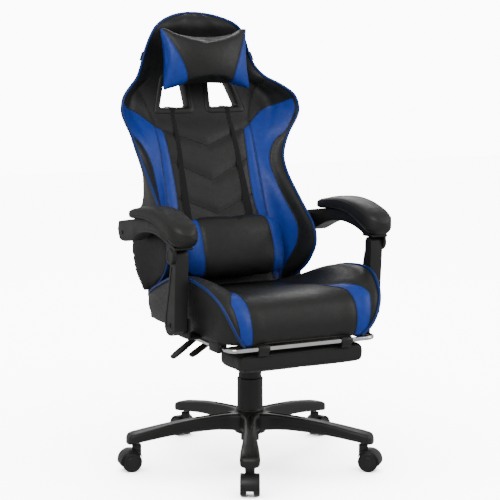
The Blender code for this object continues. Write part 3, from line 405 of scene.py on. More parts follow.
def metal(name, base, roughness, streak=(900.0, 900.0, 60.0), relief=0.00003):
    """Bare metal with the marks that turning, drawing or plating leave."""
    material, tree, shader = new_material(name, base, roughness, metallic=1.0)
    place = object_coordinates(tree)
    stretched = add(tree, "ShaderNodeMapping", {"Vector": place}, {"Scale": streak})
    lines = add(tree, "ShaderNodeTexNoise", {"Vector": stretched.outputs["Vector"]},
                {"Scale": 1.0, "Detail": 3.0})
    spread = add(tree, "ShaderNodeMapRange", {"Value": lines.outputs["Fac"]},
                 {"To Min": roughness * 0.7, "To Max": roughness * 1.4})
    tree.links.new(spread.outputs["Result"], shader.inputs["Roughness"])
    tree.links.new(tinted(tree, base, vary(tree, place, 40.0, 0.93, 1.04)), shader.inputs["Base Color"])
    bump = add(tree, "ShaderNodeBump", {"Height": lines.outputs["Fac"]},
               {"Strength": 0.3, "Distance": relief})
    tree.links.new(bump.outputs["Normal"], shader.inputs["Normal"])
    return material


def woven(name, base, pitch=0.0014):
    """Polyester webbing: ribs across the strap, a pitch apart."""
    material, tree, shader = new_material(name, base, 0.75, Specular_IOR_Level=0.25, Sheen_Weight=0.3)
    place = object_coordinates(tree)
    cycles = math.pi / (10.0 * pitch)
    ribs = add(tree, "ShaderNodeTexWave", {"Vector": place}, {"Scale": cycles, "Distortion": 0.4},
               bands_direction="Z")
    threads = add(tree, "ShaderNodeTexWave", {"Vector": place}, {"Scale": cycles, "Distortion": 0.4},
                  bands_direction="X")
    both = add(tree, "ShaderNodeMath", {0: ribs.outputs["Fac"], 1: threads.outputs["Fac"]},
               operation="MULTIPLY")
    tree.links.new(tinted(tree, base, add(tree, "ShaderNodeMapRange", {"Value": both.outputs["Value"]},
                                          {"To Min": 0.6, "To Max": 1.3}).outputs["Result"]),
                   shader.inputs["Base Color"])
    bump = add(tree, "ShaderNodeBump", {"Height": both.outputs["Value"]},
               {"Strength": 0.7, "Distance": 0.0003})
    tree.links.new(bump.outputs["Normal"], shader.inputs["Normal"])
    return material


def plies(name, base):
    """Plywood: long grain on the faces and layers that show on the edges."""
    material, tree, shader = new_material(name, base, 0.65)
    place = object_coordinates(tree)
    long_grain = add(tree, "ShaderNodeMapping", {"Vector": place}, {"Scale": (300.0, 14.0, 900.0)})
    grain = add(tree, "ShaderNodeTexNoise", {"Vector": long_grain.outputs["Vector"]},
                {"Scale": 1.0, "Detail": 5.0})
    layers = add(tree, "ShaderNodeTexWave", {"Vector": place}, {"Scale": math.pi / (10.0 * 0.003)},
                 bands_direction="Z")
    both = add(tree, "ShaderNodeMath", {0: grain.outputs["Fac"], 1: layers.outputs["Fac"]}, operation="ADD")
    shade = add(tree, "ShaderNodeMapRange", {"Value": both.outputs["Value"]},
                {"From Max": 2.0, "To Min": 0.6, "To Max": 1.25})
    tree.links.new(tinted(tree, base, shade.outputs["Result"]), shader.inputs["Base Color"])
    return material


def make_materials(colours):
    black = tuple(colours.black_leather)
    blue = tuple(colours.blue_leather)
    plastic = tuple(colours.plastic)
    return {
        "leather": leather("grained_pu_leather_two_colour", black, blue),
        "black_leather": leather("grained_pu_leather_black", black),
        "piping": leather("pu_leather_piping_blue", tuple(colours.blue_piping)),
        "thread": woven("polyester_thread", black, 0.0004),
        "webbing": woven("polyester_webbing", tuple(colours.webbing)),
        "foam": moulded("integral_skin_foam", tuple(colours.arm_foam), 0.52, 0.0012, 0.00012),
        "nylon": moulded("glass_filled_nylon", plastic, 0.42),
        "abs": moulded("textured_abs", plastic, 0.46, 0.0007, 0.00006),
        "tread": moulded("nylon_wheel", plastic, 0.36, 0.0015, 0.00004),
        "chrome": metal("chrome_plated_tube", tuple(colours.chrome), 0.10, (200.0, 200.0, 200.0), 0.00001),
        "steel": metal("ground_steel", tuple(colours.steel), 0.30),
        "coat": moulded("powder_coated_steel", tuple(colours.powder_coat), 0.48, 0.0009, 0.00010),
        "plywood": plies("birch_plywood", tuple(colours.plywood)),
        "floor": new_material("studio_floor", tuple(colours.floor), 0.85)[0],
    }


# ---- geometry node trees ---------------------------------------------------------------------------
def geometry_tree(name, inputs):
    """An empty geometry tree with named inputs: the tree, its inputs' node and the inputs' identifiers."""
    tree = bpy.data.node_groups.new(name, "GeometryNodeTree")
    tree.interface.new_socket("Geometry", in_out="INPUT", socket_type="NodeSocketGeometry")
    keys = {}
    for label, kind in inputs:
        keys[label] = tree.interface.new_socket(label, in_out="INPUT", socket_type=kind).identifier
    tree.interface.new_socket("Geometry", in_out="OUTPUT", socket_type="NodeSocketGeometry")
    return tree, tree.nodes.new("NodeGroupInput"), keys


def close_tree(tree, geometry, material_socket):
    """Realise the instances, set the material and end the tree."""
    real = add(tree, "GeometryNodeRealizeInstances", {"Geometry": geometry})
    painted = add(tree, "GeometryNodeSetMaterial", {"Geometry": real.outputs["Geometry"],
                                                    "Material": material_socket})
    add(tree, "NodeGroupOutput", {"Geometry": painted.outputs["Geometry"]})


def sweep_tree():
    """A round cord along a path: piping and thread that runs unbroken."""
    tree, start, keys = geometry_tree("sweep", (("Radius", "NodeSocketFloat"), ("Sides", "NodeSocketInt"),
                                                ("Material", "NodeSocketMaterial")))
    curve = add(tree, "GeometryNodeMeshToCurve", {"Mesh": start.outputs["Geometry"]})
    ring = add(tree, "GeometryNodeCurvePrimitiveCircle", {"Radius": start.outputs["Radius"],
                                                          "Resolution": start.outputs["Sides"]})
    cord = add(tree, "GeometryNodeCurveToMesh", {"Curve": curve.outputs["Curve"],
                                                 "Profile Curve": ring.outputs["Curve"]}, {"Fill Caps": True})
    smooth = add(tree, "GeometryNodeSetShadeSmooth", {"Geometry": cord.outputs["Mesh"]})
    close_tree(tree, smooth.outputs["Geometry"], start.outputs["Material"])
    return tree, keys


def stitch_tree():
    """Stitches along a path: short threads end to end with a gap between them."""
    tree, start, keys = geometry_tree("stitches", (("Length", "NodeSocketFloat"),
                                                   ("Radius", "NodeSocketFloat"),
                                                   ("Material", "NodeSocketMaterial")))
    curve = add(tree, "GeometryNodeMeshToCurve", {"Mesh": start.outputs["Geometry"]})
    points = add(tree, "GeometryNodeCurveToPoints", {"Curve": curve.outputs["Curve"],
                                                     "Length": start.outputs["Length"]}, mode="LENGTH")
    thread_length = add(tree, "ShaderNodeMath", {0: start.outputs["Length"]}, {1: 0.72}, operation="MULTIPLY")
    thread = add(tree, "GeometryNodeMeshCylinder", {"Radius": start.outputs["Radius"],
                                                    "Depth": thread_length.outputs["Value"]}, {"Vertices": 5})
    turn = add(tree, "FunctionNodeAlignRotationToVector", {"Vector": points.outputs["Tangent"]}, axis="Z")
    copies = add(tree, "GeometryNodeInstanceOnPoints", {"Points": points.outputs["Points"],
                                                        "Instance": thread.outputs["Mesh"],
                                                        "Rotation": turn.outputs["Rotation"]})
    close_tree(tree, copies.outputs["Instances"], start.outputs["Material"])
    return tree, keys


def screw_tree():
    """Socket-head screws on a path's points, all standing along one direction."""
    tree, start, keys = geometry_tree("screws", (("Radius", "NodeSocketFloat"), ("Height", "NodeSocketFloat"),
                                                 ("Direction", "NodeSocketVector"),
                                                 ("Material", "NodeSocketMaterial")))
    points = add(tree, "GeometryNodeMeshToPoints", {"Mesh": start.outputs["Geometry"]})
    head = add(tree, "GeometryNodeMeshCylinder", {"Radius": start.outputs["Radius"],
                                                  "Depth": start.outputs["Height"]}, {"Vertices": 20})
    narrow = add(tree, "ShaderNodeMath", {0: start.outputs["Radius"]}, {1: 0.5}, operation="MULTIPLY")
    socket = add(tree, "GeometryNodeMeshCylinder", {"Radius": narrow.outputs["Value"],
                                                    "Depth": start.outputs["Height"]}, {"Vertices": 6})
    lift = add(tree, "ShaderNodeCombineXYZ", {"Z": start.outputs["Height"]})
    raised = add(tree, "GeometryNodeTransform", {"Geometry": socket.outputs["Mesh"],
                                                 "Translation": lift.outputs["Vector"]})
    sunk = add(tree, "GeometryNodeMeshBoolean", {"Mesh 1": head.outputs["Mesh"],
                                                 "Mesh 2": raised.outputs["Geometry"]},
               operation="DIFFERENCE")
    turn = add(tree, "FunctionNodeAlignRotationToVector", {"Vector": start.outputs["Direction"]}, axis="Z")
    copies = add(tree, "GeometryNodeInstanceOnPoints", {"Points": points.outputs["Points"],
                                                        "Instance": sunk.outputs["Mesh"],
                                                        "Rotation": turn.outputs["Rotation"]})
    close_tree(tree, copies.outputs["Instances"], start.outputs["Material"])
    return tree, keys


def grow(name, paths, tree_and_keys, values):
    """The mesh that a geometry tree makes of some paths, as a plain object."""
    tree, keys = tree_and_keys
    verts = []
    edges = []
    for path in paths:
        first = len(verts)
        verts += [tuple(Vector(point) + AXIS) for point in path]
        edges += [(index, index + 1) for index in range(first, len(verts) - 1)]
    source = bpy.data.meshes.new(name + "_path")
    source.from_pydata(verts, edges, [])
    item = bpy.data.objects.new(name, source)
    bpy.context.scene.collection.objects.link(item)
    modifier = item.modifiers.new("nodes", "NODES")
    modifier.node_group = tree
    for label, value in values.items():
        modifier[keys[label]] = value
    graph = bpy.context.evaluated_depsgraph_get()
    result = bpy.data.meshes.new_from_object(item.evaluated_get(graph))
    item.modifiers.remove(modifier)
    item.data = result
    return item


# ---- shaping ---------------------------------------------------------------------------------------
def apply_modifiers(item):
    graph = bpy.context.evaluated_depsgraph_get()
    result = bpy.data.meshes.new_from_object(item.evaluated_get(graph))
    item.modifiers.clear()
    item.data = result
    return item


def smooth_shaded(item, angle):
    """Smooth shading, broken at edges sharper than the angle."""
    item.data.shade_smooth()
    item.data.set_sharp_from_angle(angle=angle)


def soften(item, width, segments=3, angle=0.6):
    """Round the sharp edges and keep flat faces flat."""
    modifier = item.modifiers.new("edges", "BEVEL")
    modifier.width = width
    modifier.segments = segments
    modifier.limit_method = "ANGLE"
    modifier.angle_limit = angle
    apply_modifiers(item)
    smooth_shaded(item, 0.9)
    return item


def prism(name, outline, low, high, material=None):
    """An outline of (y, z) points, extruded along X."""
    return loft(name, [[(x, y, z) for y, z in outline] for x in sorted((low, high))], material)


def turned(name, profile, material, centre=(0.0, 0.0, 0.0), axis=(0.0, 0.0, 1.0), segments=56):
    """A closed profile of (radius, height) turned about an axis through a centre."""
    spin = Vector(axis).to_track_quat("Z", "Y").to_matrix()
    verts = []
    for radius, height in profile:
        for step in range(segments):
            angle = 2.0 * math.pi * step / segments
            place = Vector((radius * math.cos(angle), radius * math.sin(angle), height))
            verts.append(spin @ place + Vector(centre))
    faces = []
    rows = len(profile)
    for row in range(rows):
        below = (row + 1) % rows
        if profile[row][0] < 1e-7 and profile[below][0] < 1e-7:
            continue
        for step in range(segments):
            ahead = (step + 1) % segments
            faces.append((row * segments + step, row * segments + ahead, below * segments + ahead,
                          below * segments + step))
    item = mesh_object(name, verts, faces, material)
    item.data.set_sharp_from_angle(angle=0.6)
    return item


def rounded_profile(points, radius=0.0015, steps=3):
    """A closed profile with each corner rounded, for turning."""
    result = []
    count = len(points)
    for index, point in enumerate(points):
        here = Vector(point)
        before = Vector(points[index - 1])
        after = Vector(points[(index + 1) % count])
        if here.x < 1e-7:
            result.append(tuple(here))
            continue
        back = before - here
        ahead = after - here
        reach = min(radius, 0.45 * back.length, 0.45 * ahead.length)
        start = here + back.normalized() * reach
        end = here + ahead.normalized() * reach
        for step in range(steps + 1):
            t = step / steps
            result.append(tuple((1 - t) ** 2 * start + 2 * t * (1 - t) * here + t ** 2 * end))
    return result


def union(item, others):
    """One closed skin of several overlapping ones."""
    for other in others:
        modifier = item.modifiers.new("join", "BOOLEAN")
        modifier.operation = "UNION"
        modifier.object = other
    apply_modifiers(item)
    for other in others:
        bpy.data.objects.remove(other, do_unlink=True)
    return item


def subtract(item, others):
    for other in others:
        modifier = item.modifiers.new("cut", "BOOLEAN")
        modifier.operation = "DIFFERENCE"
        modifier.object = other
    apply_modifiers(item)
    for other in others:
        bpy.data.objects.remove(other, do_unlink=True)
    return item


def set_attribute(item, name, values):
    attribute = item.data.attributes.new(name, "FLOAT", "POINT")
    attribute.data.foreach_set("value", np.asarray(values, np.float32))


def points_of(item):
    """Vertex places from the swivel axis."""
    values = np.zeros(len(item.data.vertices) * 3)
    item.data.vertices.foreach_get("co", values)
    return values.reshape(-1, 3) - np.array(AXIS)


def place_points(item, values):
    item.data.vertices.foreach_set("co", (values + np.array(AXIS)).ravel())
    item.data.update()


def normals_of(item):
    values = np.zeros(len(item.data.vertices) * 3)
    item.data.vertices.foreach_get("normal", values)
    return values.reshape(-1, 3)


def distance_to_lines(points, lines):
    """Shortest distance of plane points from a set of broken lines."""
    best = np.full(len(points), 9.0)
    for line in lines:
        line = np.asarray(line, float)
        for a, b in zip(line, line[1:]):
            run = b - a
            share = np.clip(((points - a) @ run) / max(run @ run, 1e-12), 0.0, 1.0)
            best = np.minimum(best, np.linalg.norm(points - (a + share[:, None] * run), axis=1))
    return best


def inside(points, outline):
    outline = np.asarray(outline, float)
    crossed = np.zeros(len(points), bool)
    for a, b in zip(outline, np.roll(outline, -1, axis=0)):
        spans = (a[1] > points[:, 1]) != (b[1] > points[:, 1])
        rise = b[1] - a[1] if b[1] != a[1] else 1e-12
        crossed ^= spans & (points[:, 0] < (b[0] - a[0]) * (points[:, 1] - a[1]) / rise + a[0])
    return crossed


def signed_distance(points, outline):
    """Distance into a closed outline, negative outside it."""
    closed = np.vstack([outline, outline[:1]])
    distance = distance_to_lines(points, [closed])
    return np.where(inside(points, outline), distance, -distance)


def finish_piece(item, body, slot, *nodes):
    """Tie a finished piece to its body and hide the solids that it stands for; the slot is not used."""
    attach(item, body)
    if nodes:
        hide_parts(*nodes)
    return item


def quilt(item, seam, height, reach):
    """Raise the panels between seams like padding, and mark the seams for the finish's groove bump and its
    painted seam shade.
    """
    seam = np.asarray(seam)
    raised = height * (1.0 - np.exp(-(seam / reach) ** 1.5))
    place_points(item, points_of(item) + normals_of(item) * (raised - 0.5 * height)[:, None])
    set_attribute(item, "seam", seam)


def superellipse(count, exponent):
    """Points round a square with rounded corners, from -1 to 1 both ways."""
    ring = []
    for step in range(count):
        angle = 2.0 * math.pi * (step + 0.5) / count
        across, up = math.cos(angle), math.sin(angle)
        ring.append((math.copysign(abs(across) ** (2.0 / exponent), across),
                     math.copysign(abs(up) ** (2.0 / exponent), up)))
    return ring


def subdivide(item, levels=1):
    modifier = item.modifiers.new("smooth", "SUBSURF")
    modifier.levels = levels
    modifier.render_levels = levels
    return apply_modifiers(item)


def surface(item):
    """Search tree of a piece's faces; its points count from the model's origin."""
    shape = bmesh.new()
    shape.from_mesh(item.data)
    tree = BVHTree.FromBMesh(shape)
    shape.free()
    return tree


def drape(tree, path, count, lift=0.0, shift=0.0, ray=None):
    """A path laid on a skin: evenly spaced points, shifted sideways along the skin and lifted off it."""
    laid = []
    points = resample(path, count)
    for index, point in enumerate(points):
        place = Vector(point) + AXIS
        if ray:
            hit = tree.ray_cast(place - Vector(ray), Vector(ray).normalized(), 4.0)
        else:
            hit = tree.find_nearest(place)
        if hit[0] is None:
            continue
        spot, normal = hit[0], hit[1]
        if shift:
            ahead = Vector(points[min(index + 1, count - 1)]) - Vector(points[max(index - 1, 0)])
            sideways = normal.cross(ahead).normalized()
            spot, normal = tree.find_nearest(spot + shift * sideways)[:2]
        laid.append(spot + lift * normal - AXIS)
    return laid


def mirrored(path):
    return [(-point[0], *tuple(point)[1:]) for point in path]


def nearest(points, line):
    """Distance of points in space from a set of places along lines."""
    tree = KDTree(len(line))
    for index, point in enumerate(line):
        tree.insert(Vector(point), index)
    tree.balance()
    return np.array([tree.find(Vector(point))[2] for point in points])


def inflate(item, voxel, cap, pressure=4.0, steps=20):
    """Swell a closed fabric skin as cloth under pressure; no point moves further than the cap."""
    even = item.modifiers.new("even", "REMESH")
    even.mode = "VOXEL"
    even.voxel_size = voxel
    apply_modifiers(item)
    start = points_of(item)
    cloth = item.modifiers.new("cloth", "CLOTH")
    cloth.settings.quality = 5
    cloth.settings.mass = 0.25
    cloth.settings.use_pressure = True
    cloth.settings.uniform_pressure_force = pressure
    cloth.settings.effector_weights.gravity = 0.0
    cloth.point_cache.frame_start = 1
    cloth.point_cache.frame_end = steps
    for step in range(1, steps + 1):
        bpy.context.scene.frame_set(step)
    apply_modifiers(item)
    bpy.context.scene.frame_set(1)
    moved = points_of(item) - start
    far = np.linalg.norm(moved, axis=1)
    place_points(item, start + moved * np.minimum(1.0, cap / np.maximum(far, 1e-9))[:, None])
    subdivide(item)
    item.data.shade_smooth()
    return item


made = {}


def material(name):
    """One of the chair's finishes; all are made at the first call."""
    if "materials" not in made:
        made["materials"] = make_materials(bpy.context.scene.chair_colours)
    return made["materials"][name]


def cord_run(name, paths, radius, finish, sides=8):
    """Round cords along paths."""
    made.setdefault("sweep", sweep_tree())
    return grow(name, paths, made["sweep"], {"Radius": radius, "Sides": sides, "Material": material(finish)})


def stitch_run(name, paths, sizes):
    made.setdefault("stitches", stitch_tree())
    return grow(name, paths, made["stitches"], {"Length": sizes.stitch, "Radius": sizes.thread,
                                                "Material": material("thread")})


def screw_run(name, places, direction, radius, height, finish="coat"):
    made.setdefault("screws", screw_tree())
    return grow(name, [[place] for place in places], made["screws"],
                {"Radius": radius, "Height": height, "Direction": direction, "Material": material(finish)})


# ---- backrest pieces -------------------------------------------------------------------------------
# seams of the backrest's front as (half x, z)
STRIP_INNER = ((0.126, 0.888), (0.122, 0.850), (0.119, 0.800), (0.117, 0.753), (0.118, 0.687), (0.127, 0.640),
               (0.137, 0.540), (0.142, 0.476))
STRIP_OUTER = ((0.149, 0.902), (0.147, 0.840), (0.148, 0.770), (0.149, 0.730), (0.150, 0.675), (0.154, 0.600),
               (0.158, 0.530), (0.160, 0.476))
PANEL_TOP = ((0.126, 0.888), (0.149, 0.902), (0.194, 0.938), (0.234, 0.957), (0.262, 0.975), (0.290, 0.992))
PANEL_EDGE = ((0.290, 0.940), (0.265, 0.930), (0.258, 0.915), (0.238, 0.882), (0.210, 0.857), (0.190, 0.822),
              (0.183, 0.787), (0.187, 0.735), (0.193, 0.690), (0.201, 0.651), (0.203, 0.615), (0.199, 0.581),
              (0.191, 0.551), (0.180, 0.520), (0.171, 0.490), (0.168, 0.476))
SHOULDER = ((0.149, 0.902), (0.152, 0.925), (0.172, 0.980), (0.200, 1.028))
CHEVRONS = (((0.0, 0.844), (0.107, 0.883), (0.126, 0.888)), ((0.0, 0.749), (0.118, 0.805)),
            ((0.0, 0.659), (0.118, 0.708)), ((0.0, 0.569), (0.131, 0.618)))
HOLE_CORNERS = ((0.028, 0.946), (0.130, 0.946), (0.100, 1.034), (0.034, 1.034))


def front_line(points, steps=6):
    """A smooth seam of the backrest, as points in front of it."""
    return [(x, 0.0, z) for x, z in spline(points, steps)]


def offset_outline(corners, distance):
    """A convex outline grown by a distance, corners kept sharp."""
    grown = []
    count = len(corners)
    middle = np.mean(np.array(corners), axis=0)
    lines = []
    for index in range(count):
        a = np.array(corners[index])
        b = np.array(corners[(index + 1) % count])
        run = (b - a) / np.linalg.norm(b - a)
        out = np.array((run[1], -run[0]))
        if np.dot(out, a - middle) < 0.0:
            out = -out
        lines.append((a + distance * out, run))
    for index in range(count):
        (p, r), (q, s) = lines[index - 1], lines[index]
        share = ((q[0] - p[0]) * s[1] - (q[1] - p[1]) * s[0]) / (r[0] * s[1] - r[1] * s[0])
        grown.append(tuple(p + share * r))
    return grown


def round_outline(corners, radius, steps=5):
    """A closed outline with its corners rounded."""
    result = []
    count = len(corners)
    for index in range(count):
        here = np.array(corners[index])
        back = np.array(corners[index - 1]) - here
        ahead = np.array(corners[(index + 1) % count]) - here
        reach = min(radius, 0.45 * np.linalg.norm(back), 0.45 * np.linalg.norm(ahead))
        start = here + back / np.linalg.norm(back) * reach
        end = here + ahead / np.linalg.norm(ahead) * reach
        for step in range(steps + 1):
            t = step / steps
            result.append(tuple((1 - t) ** 2 * start + 2 * t * (1 - t) * here + t ** 2 * end))
    return result


def back_front(z):
    return smooth_table(BACK_ROWS, z)[3]


def back_rear(z):
    return smooth_table(BACK_ROWS, z)[4]


def hole_ring(side, grow_by, radius, depth):
    outline = round_outline(offset_outline(HOLE_CORNERS, grow_by), radius)
    return [(side * x, depth(z), z) for x, z in outline]


def make_backrest(sizes):
    skin = back_skin()
    skin.data.materials.append(material("leather"))
    welt = []
    for z in back_levels():
        half, edge = smooth_table(BACK_ROWS, z)[:2]
        welt.append((half, edge, z))
    seams = [STRIP_INNER, STRIP_OUTER, PANEL_TOP, PANEL_EDGE, SHOULDER, *CHEVRONS]
    curves = [spline(seam, 6) for seam in seams]
    places = points_of(skin)
    folded = np.column_stack([np.abs(places[:, 0]), places[:, 2]])
    half, edge, _, centre, _ = smooth_table(BACK_ROWS, places[:, 2])
    share = np.clip(np.abs(places[:, 0]) / half, 0.0, 1.0)
    front = places[:, 1] < np.where(share > 0.985, edge + 0.0008, np.maximum(centre, edge) + 0.004)
    distance = np.where(front, distance_to_lines(folded, curves), 0.05)
    distance = np.minimum(distance, nearest(places, welt + mirrored(welt)))
    quilt(skin, distance, sizes.puff, 0.010)
    tools = []
    for side in (-1, 1):
        tools.append(loft("hole", [hole_ring(side, 0.001, 0.012, lambda z: back_front(z) - 0.10),
                                   hole_ring(side, 0.001, 0.012, lambda z: back_rear(z) + 0.10)]))
    subtract(skin, tools)
    places = points_of(skin)
    outline = [tuple(point) for point in reversed(spline(STRIP_INNER, 6))]
    for line in (PANEL_TOP, PANEL_EDGE):
        outline += [tuple(point) for point in spline(line, 6)]
    folded = np.column_stack([np.abs(places[:, 0]), places[:, 2]])
    half, edge, _, centre, _ = smooth_table(BACK_ROWS, places[:, 2])
    share = np.clip(np.abs(places[:, 0]) / half, 0.0, 1.1)
    front = (places[:, 1] < np.maximum(centre, edge) + 0.006) & (share < 1.01)
    front &= ~((share > 0.985) & (places[:, 1] > edge + 0.0025))
    set_attribute(skin, "blue", np.where(front, signed_distance(folded, np.array(outline)), -0.02))
    set_attribute(skin, "seam", np.full(len(places), 0.05))
    skin.data.shade_smooth()
    finish_piece(skin, "backrest", "back_leather", "back_cushion")

    tree = surface(skin)
    toward = (0.0, 1.0, 0.0)
    folds = []
    stitches = []
    for seam in seams:
        line = front_line(seam)
        count = max(8, int(130 * np.linalg.norm(np.diff(np.array(line), axis=0), axis=1).sum()))
        for path in (line, mirrored(line)):
            inside_path = [point for point in path
                           if abs(point[0]) < smooth_table(BACK_ROWS, point[2])[0] - 0.002]
            if len(inside_path) < 2:
                continue
            folds.append(drape(tree, inside_path, count, -0.0001, 0.0, toward))
            for shift in (-0.0026, 0.0026):
                stitches.append(drape(tree, inside_path, count, 0.0002, shift, toward))
    finish_piece(cord_run("back_seam_folds", folds, 0.0007, "black_leather", 6), "backrest", "back_leather")
    finish_piece(stitch_run("back_stitches", stitches, sizes), "backrest", "back_leather")
    loop = [Vector(point) for point in welt] + [Vector(point) for point in reversed(mirrored(welt))]
    piping = cord_run("back_piping", [resample(loop, 520)], sizes.piping_radius, "piping", 12)
    finish_piece(piping, "backrest", "back_leather")


def make_bezels(sizes):
    """Moulded frames of the two belt holes."""
    lip, wall, edge = 0.0115, 0.0040, 0.0020
    for name, side in SIDES:
        levels = ((0.0, lambda z: back_rear(z) + 0.004, 0.010),
                  (lip * 0.7, lambda z: back_rear(z) + 0.004, 0.014),
                  (lip * 0.7, lambda z: back_rear(z) + 0.001, 0.014),
                  (0.0, lambda z: back_rear(z) + 0.001, 0.010),
                  (0.0, lambda z: back_front(z) + 0.004, 0.010),
                  (lip, lambda z: back_front(z) + 0.002, 0.018),
                  (lip, lambda z: back_front(z) - 0.0028, 0.018),
                  (lip - edge, lambda z: back_front(z) - 0.0048, 0.017),
                  (-wall + edge, lambda z: back_front(z) - 0.0055, 0.010),
                  (-wall, lambda z: back_front(z) - 0.0035, 0.009),
                  (-wall, lambda z: back_rear(z) + 0.003, 0.009),
                  (-wall + 0.001, lambda z: back_rear(z) + 0.004, 0.009))
        rings = [hole_ring(side, grown, radius, depth) for grown, depth, radius in levels]
        count = len(rings[0])
        faces = []
        for level in range(len(rings)):
            after = (level + 1) % len(rings)
            for index in range(count):
                ahead = (index + 1) % count
                faces.append((level * count + index, level * count + ahead, after * count + ahead,
                              after * count + index))
        bezel = mesh_object(f"belt_bezel_rim_{name}", [point for ring in rings for point in ring], faces,
                            material("abs"))
        bezel.data.set_sharp_from_angle(angle=0.9)
        finish_piece(bezel, "backrest", "black_plastic", f"belt_bezel_{name}")


# ---- pillows ---------------------------------------------------------------------------------------
PILLOW_GRID = 30


def pillow(name, centre, half, lean, outline, crown, ears):
    """A stuffed cover sewn round its edge: thin at the seam and drawn out at the corners."""
    turn = Matrix.Rotation(-lean, 3, "X")
    verts = []
    faces = []
    steps = PILLOW_GRID
    index = {}
    for face in (-1, 1):
        for row in range(steps + 1):
            for column in range(steps + 1):
                u = math.sin(0.5 * math.pi * (2.0 * column / steps - 1.0))
                v = math.sin(0.5 * math.pi * (2.0 * row / steps - 1.0))
                rim = row in (0, steps) or column in (0, steps)
                if rim and face == 1:
                    index[face, row, column] = index[-1, row, column]
                    continue
                wide, high = outline(u, v)
                swell = ((1.0 - abs(u) ** crown) * (1.0 - abs(v) ** crown)) ** 0.5
                swell *= 1.0 - ears * (u * v) ** 4
                place = Vector((half[0] * wide, face * half[1] * swell, half[2] * high))
                index[face, row, column] = len(verts)
                verts.append(Vector(centre) + turn @ place)
    for face in (-1, 1):
        for row in range(steps):
            for column in range(steps):
                faces.append((index[face, row, column], index[face, row, column + 1],
                              index[face, row + 1, column + 1], index[face, row + 1, column]))
    item = mesh_object(name, verts, faces, material("leather"))
    rim = [index[-1, 0, column] for column in range(steps + 1)]
    rim += [index[-1, row, steps] for row in range(1, steps + 1)]
    rim += [index[-1, steps, column] for column in range(steps - 1, -1, -1)]
    rim += [index[-1, row, 0] for row in range(steps - 1, -1, -1)]
    return item, turn, [verts[corner] for corner in rim]


HEAD_CENTRE = (0.0, 0.272, 1.088)
HEAD_HALF = (0.142, 0.043, 0.093)
HEAD_LEAN = math.radians(7.0)
HEAD_SEAM = ((-1.0, 0.066), (-0.5, 0.073), (0.0, 0.090), (0.5, 0.111), (1.0, 0.132))
LUMBAR_CENTRE = (0.0, 0.102, 0.578)
LUMBAR_HALF = (0.156, 0.048, 0.088)
LUMBAR_LEAN = math.radians(19.0)
LUMBAR_SEAM = ((-1.0, 0.104), (0.0, 0.106), (1.0, 0.104))


def head_outline(u, v):
    top = 1.0 - 0.28 * (1.0 - u * u)
    bottom = -1.0 + 0.17 * (1.0 - u * u)
    return u * (1.0 - 0.07 * (1.0 - v * v)), bottom + (top - bottom) * 0.5 * (v + 1.0)


def lumbar_outline(u, v):
    return u * (1.0 - 0.10 * abs(v) ** 3), v * (1.0 - 0.20 * u ** 4)


def make_pillow(sizes, name, centre, half, lean, outline, crown, ears, panel_seam, cap, node):
    item, turn, rim = pillow(name, centre, half, lean, outline, crown, ears)
    inflate(item, 0.005, cap)
    places = points_of(item)
    local = np.array([turn.inverted() @ (Vector(place) - Vector(centre)) for place in places])
    table = np.array(panel_seam)
    edge = np.interp(local[:, 2] / half[2], table[:, 0], table[:, 1])
    blue = np.abs(local[:, 0]) - edge
    seam = np.abs(blue)
    dip = 0.0016 * np.exp(-(seam / 0.005) ** 2)
    place_points(item, places - normals_of(item) * dip[:, None])
    set_attribute(item, "blue", blue)
    set_attribute(item, "seam", np.full(len(places), 0.05))
    item.data.shade_smooth()
    finish_piece(item, "backrest", "pillow_leather", node)

    tree = surface(item)
    folds = []
    stitches = []
    for side in (-1, 1):
        line = []
        for height, reach in spline(panel_seam, 8):
            place = Vector((side * reach, -half[1] - 0.03, half[2] * height * 0.97))
            line.append(Vector(centre) + turn @ place)
        ray = turn @ Vector((0.0, 0.2, 0.0))
        path = [point + ray for point in line]
        folds.append(drape(tree, path, 50, -0.0001, 0.0, ray))
        stitches.append(drape(tree, path, 50, 0.0002, 0.0026, ray))
        stitches.append(drape(tree, path, 50, 0.0002, -0.0026, ray))
    folds = [path for path in folds if len(path) > 3]
    stitches = [path for path in stitches if len(path) > 3]
    edge_seam = [drape(tree, rim, 260, -0.0004)]
    finish_piece(cord_run(name + "_seam_folds", folds + edge_seam, 0.0005, "black_leather", 6), "backrest",
                 "pillow_leather")
    finish_piece(stitch_run(name + "_stitches", stitches, sizes), "backrest", "pillow_leather")
    return tree


def band(name, path, width, thickness, across, finish="webbing"):
    """A strap along a path, with a width for each point along one direction and a thickness out of it."""
    rings = []
    wide = Vector(across).normalized()
    for index, point in enumerate(path):
        ahead = Vector(path[min(index + 1, len(path) - 1)]) - Vector(path[max(index - 1, 0)])
        out = wide.cross(ahead).normalized()
        ring = []
        for a, b in superellipse(12, 6.0):
            ring.append(Vector(point) + wide * (0.5 * width[index] * a) + out * (0.5 * thickness * b))
        rings.append(ring)
    return loft(name, rings, material(finish))


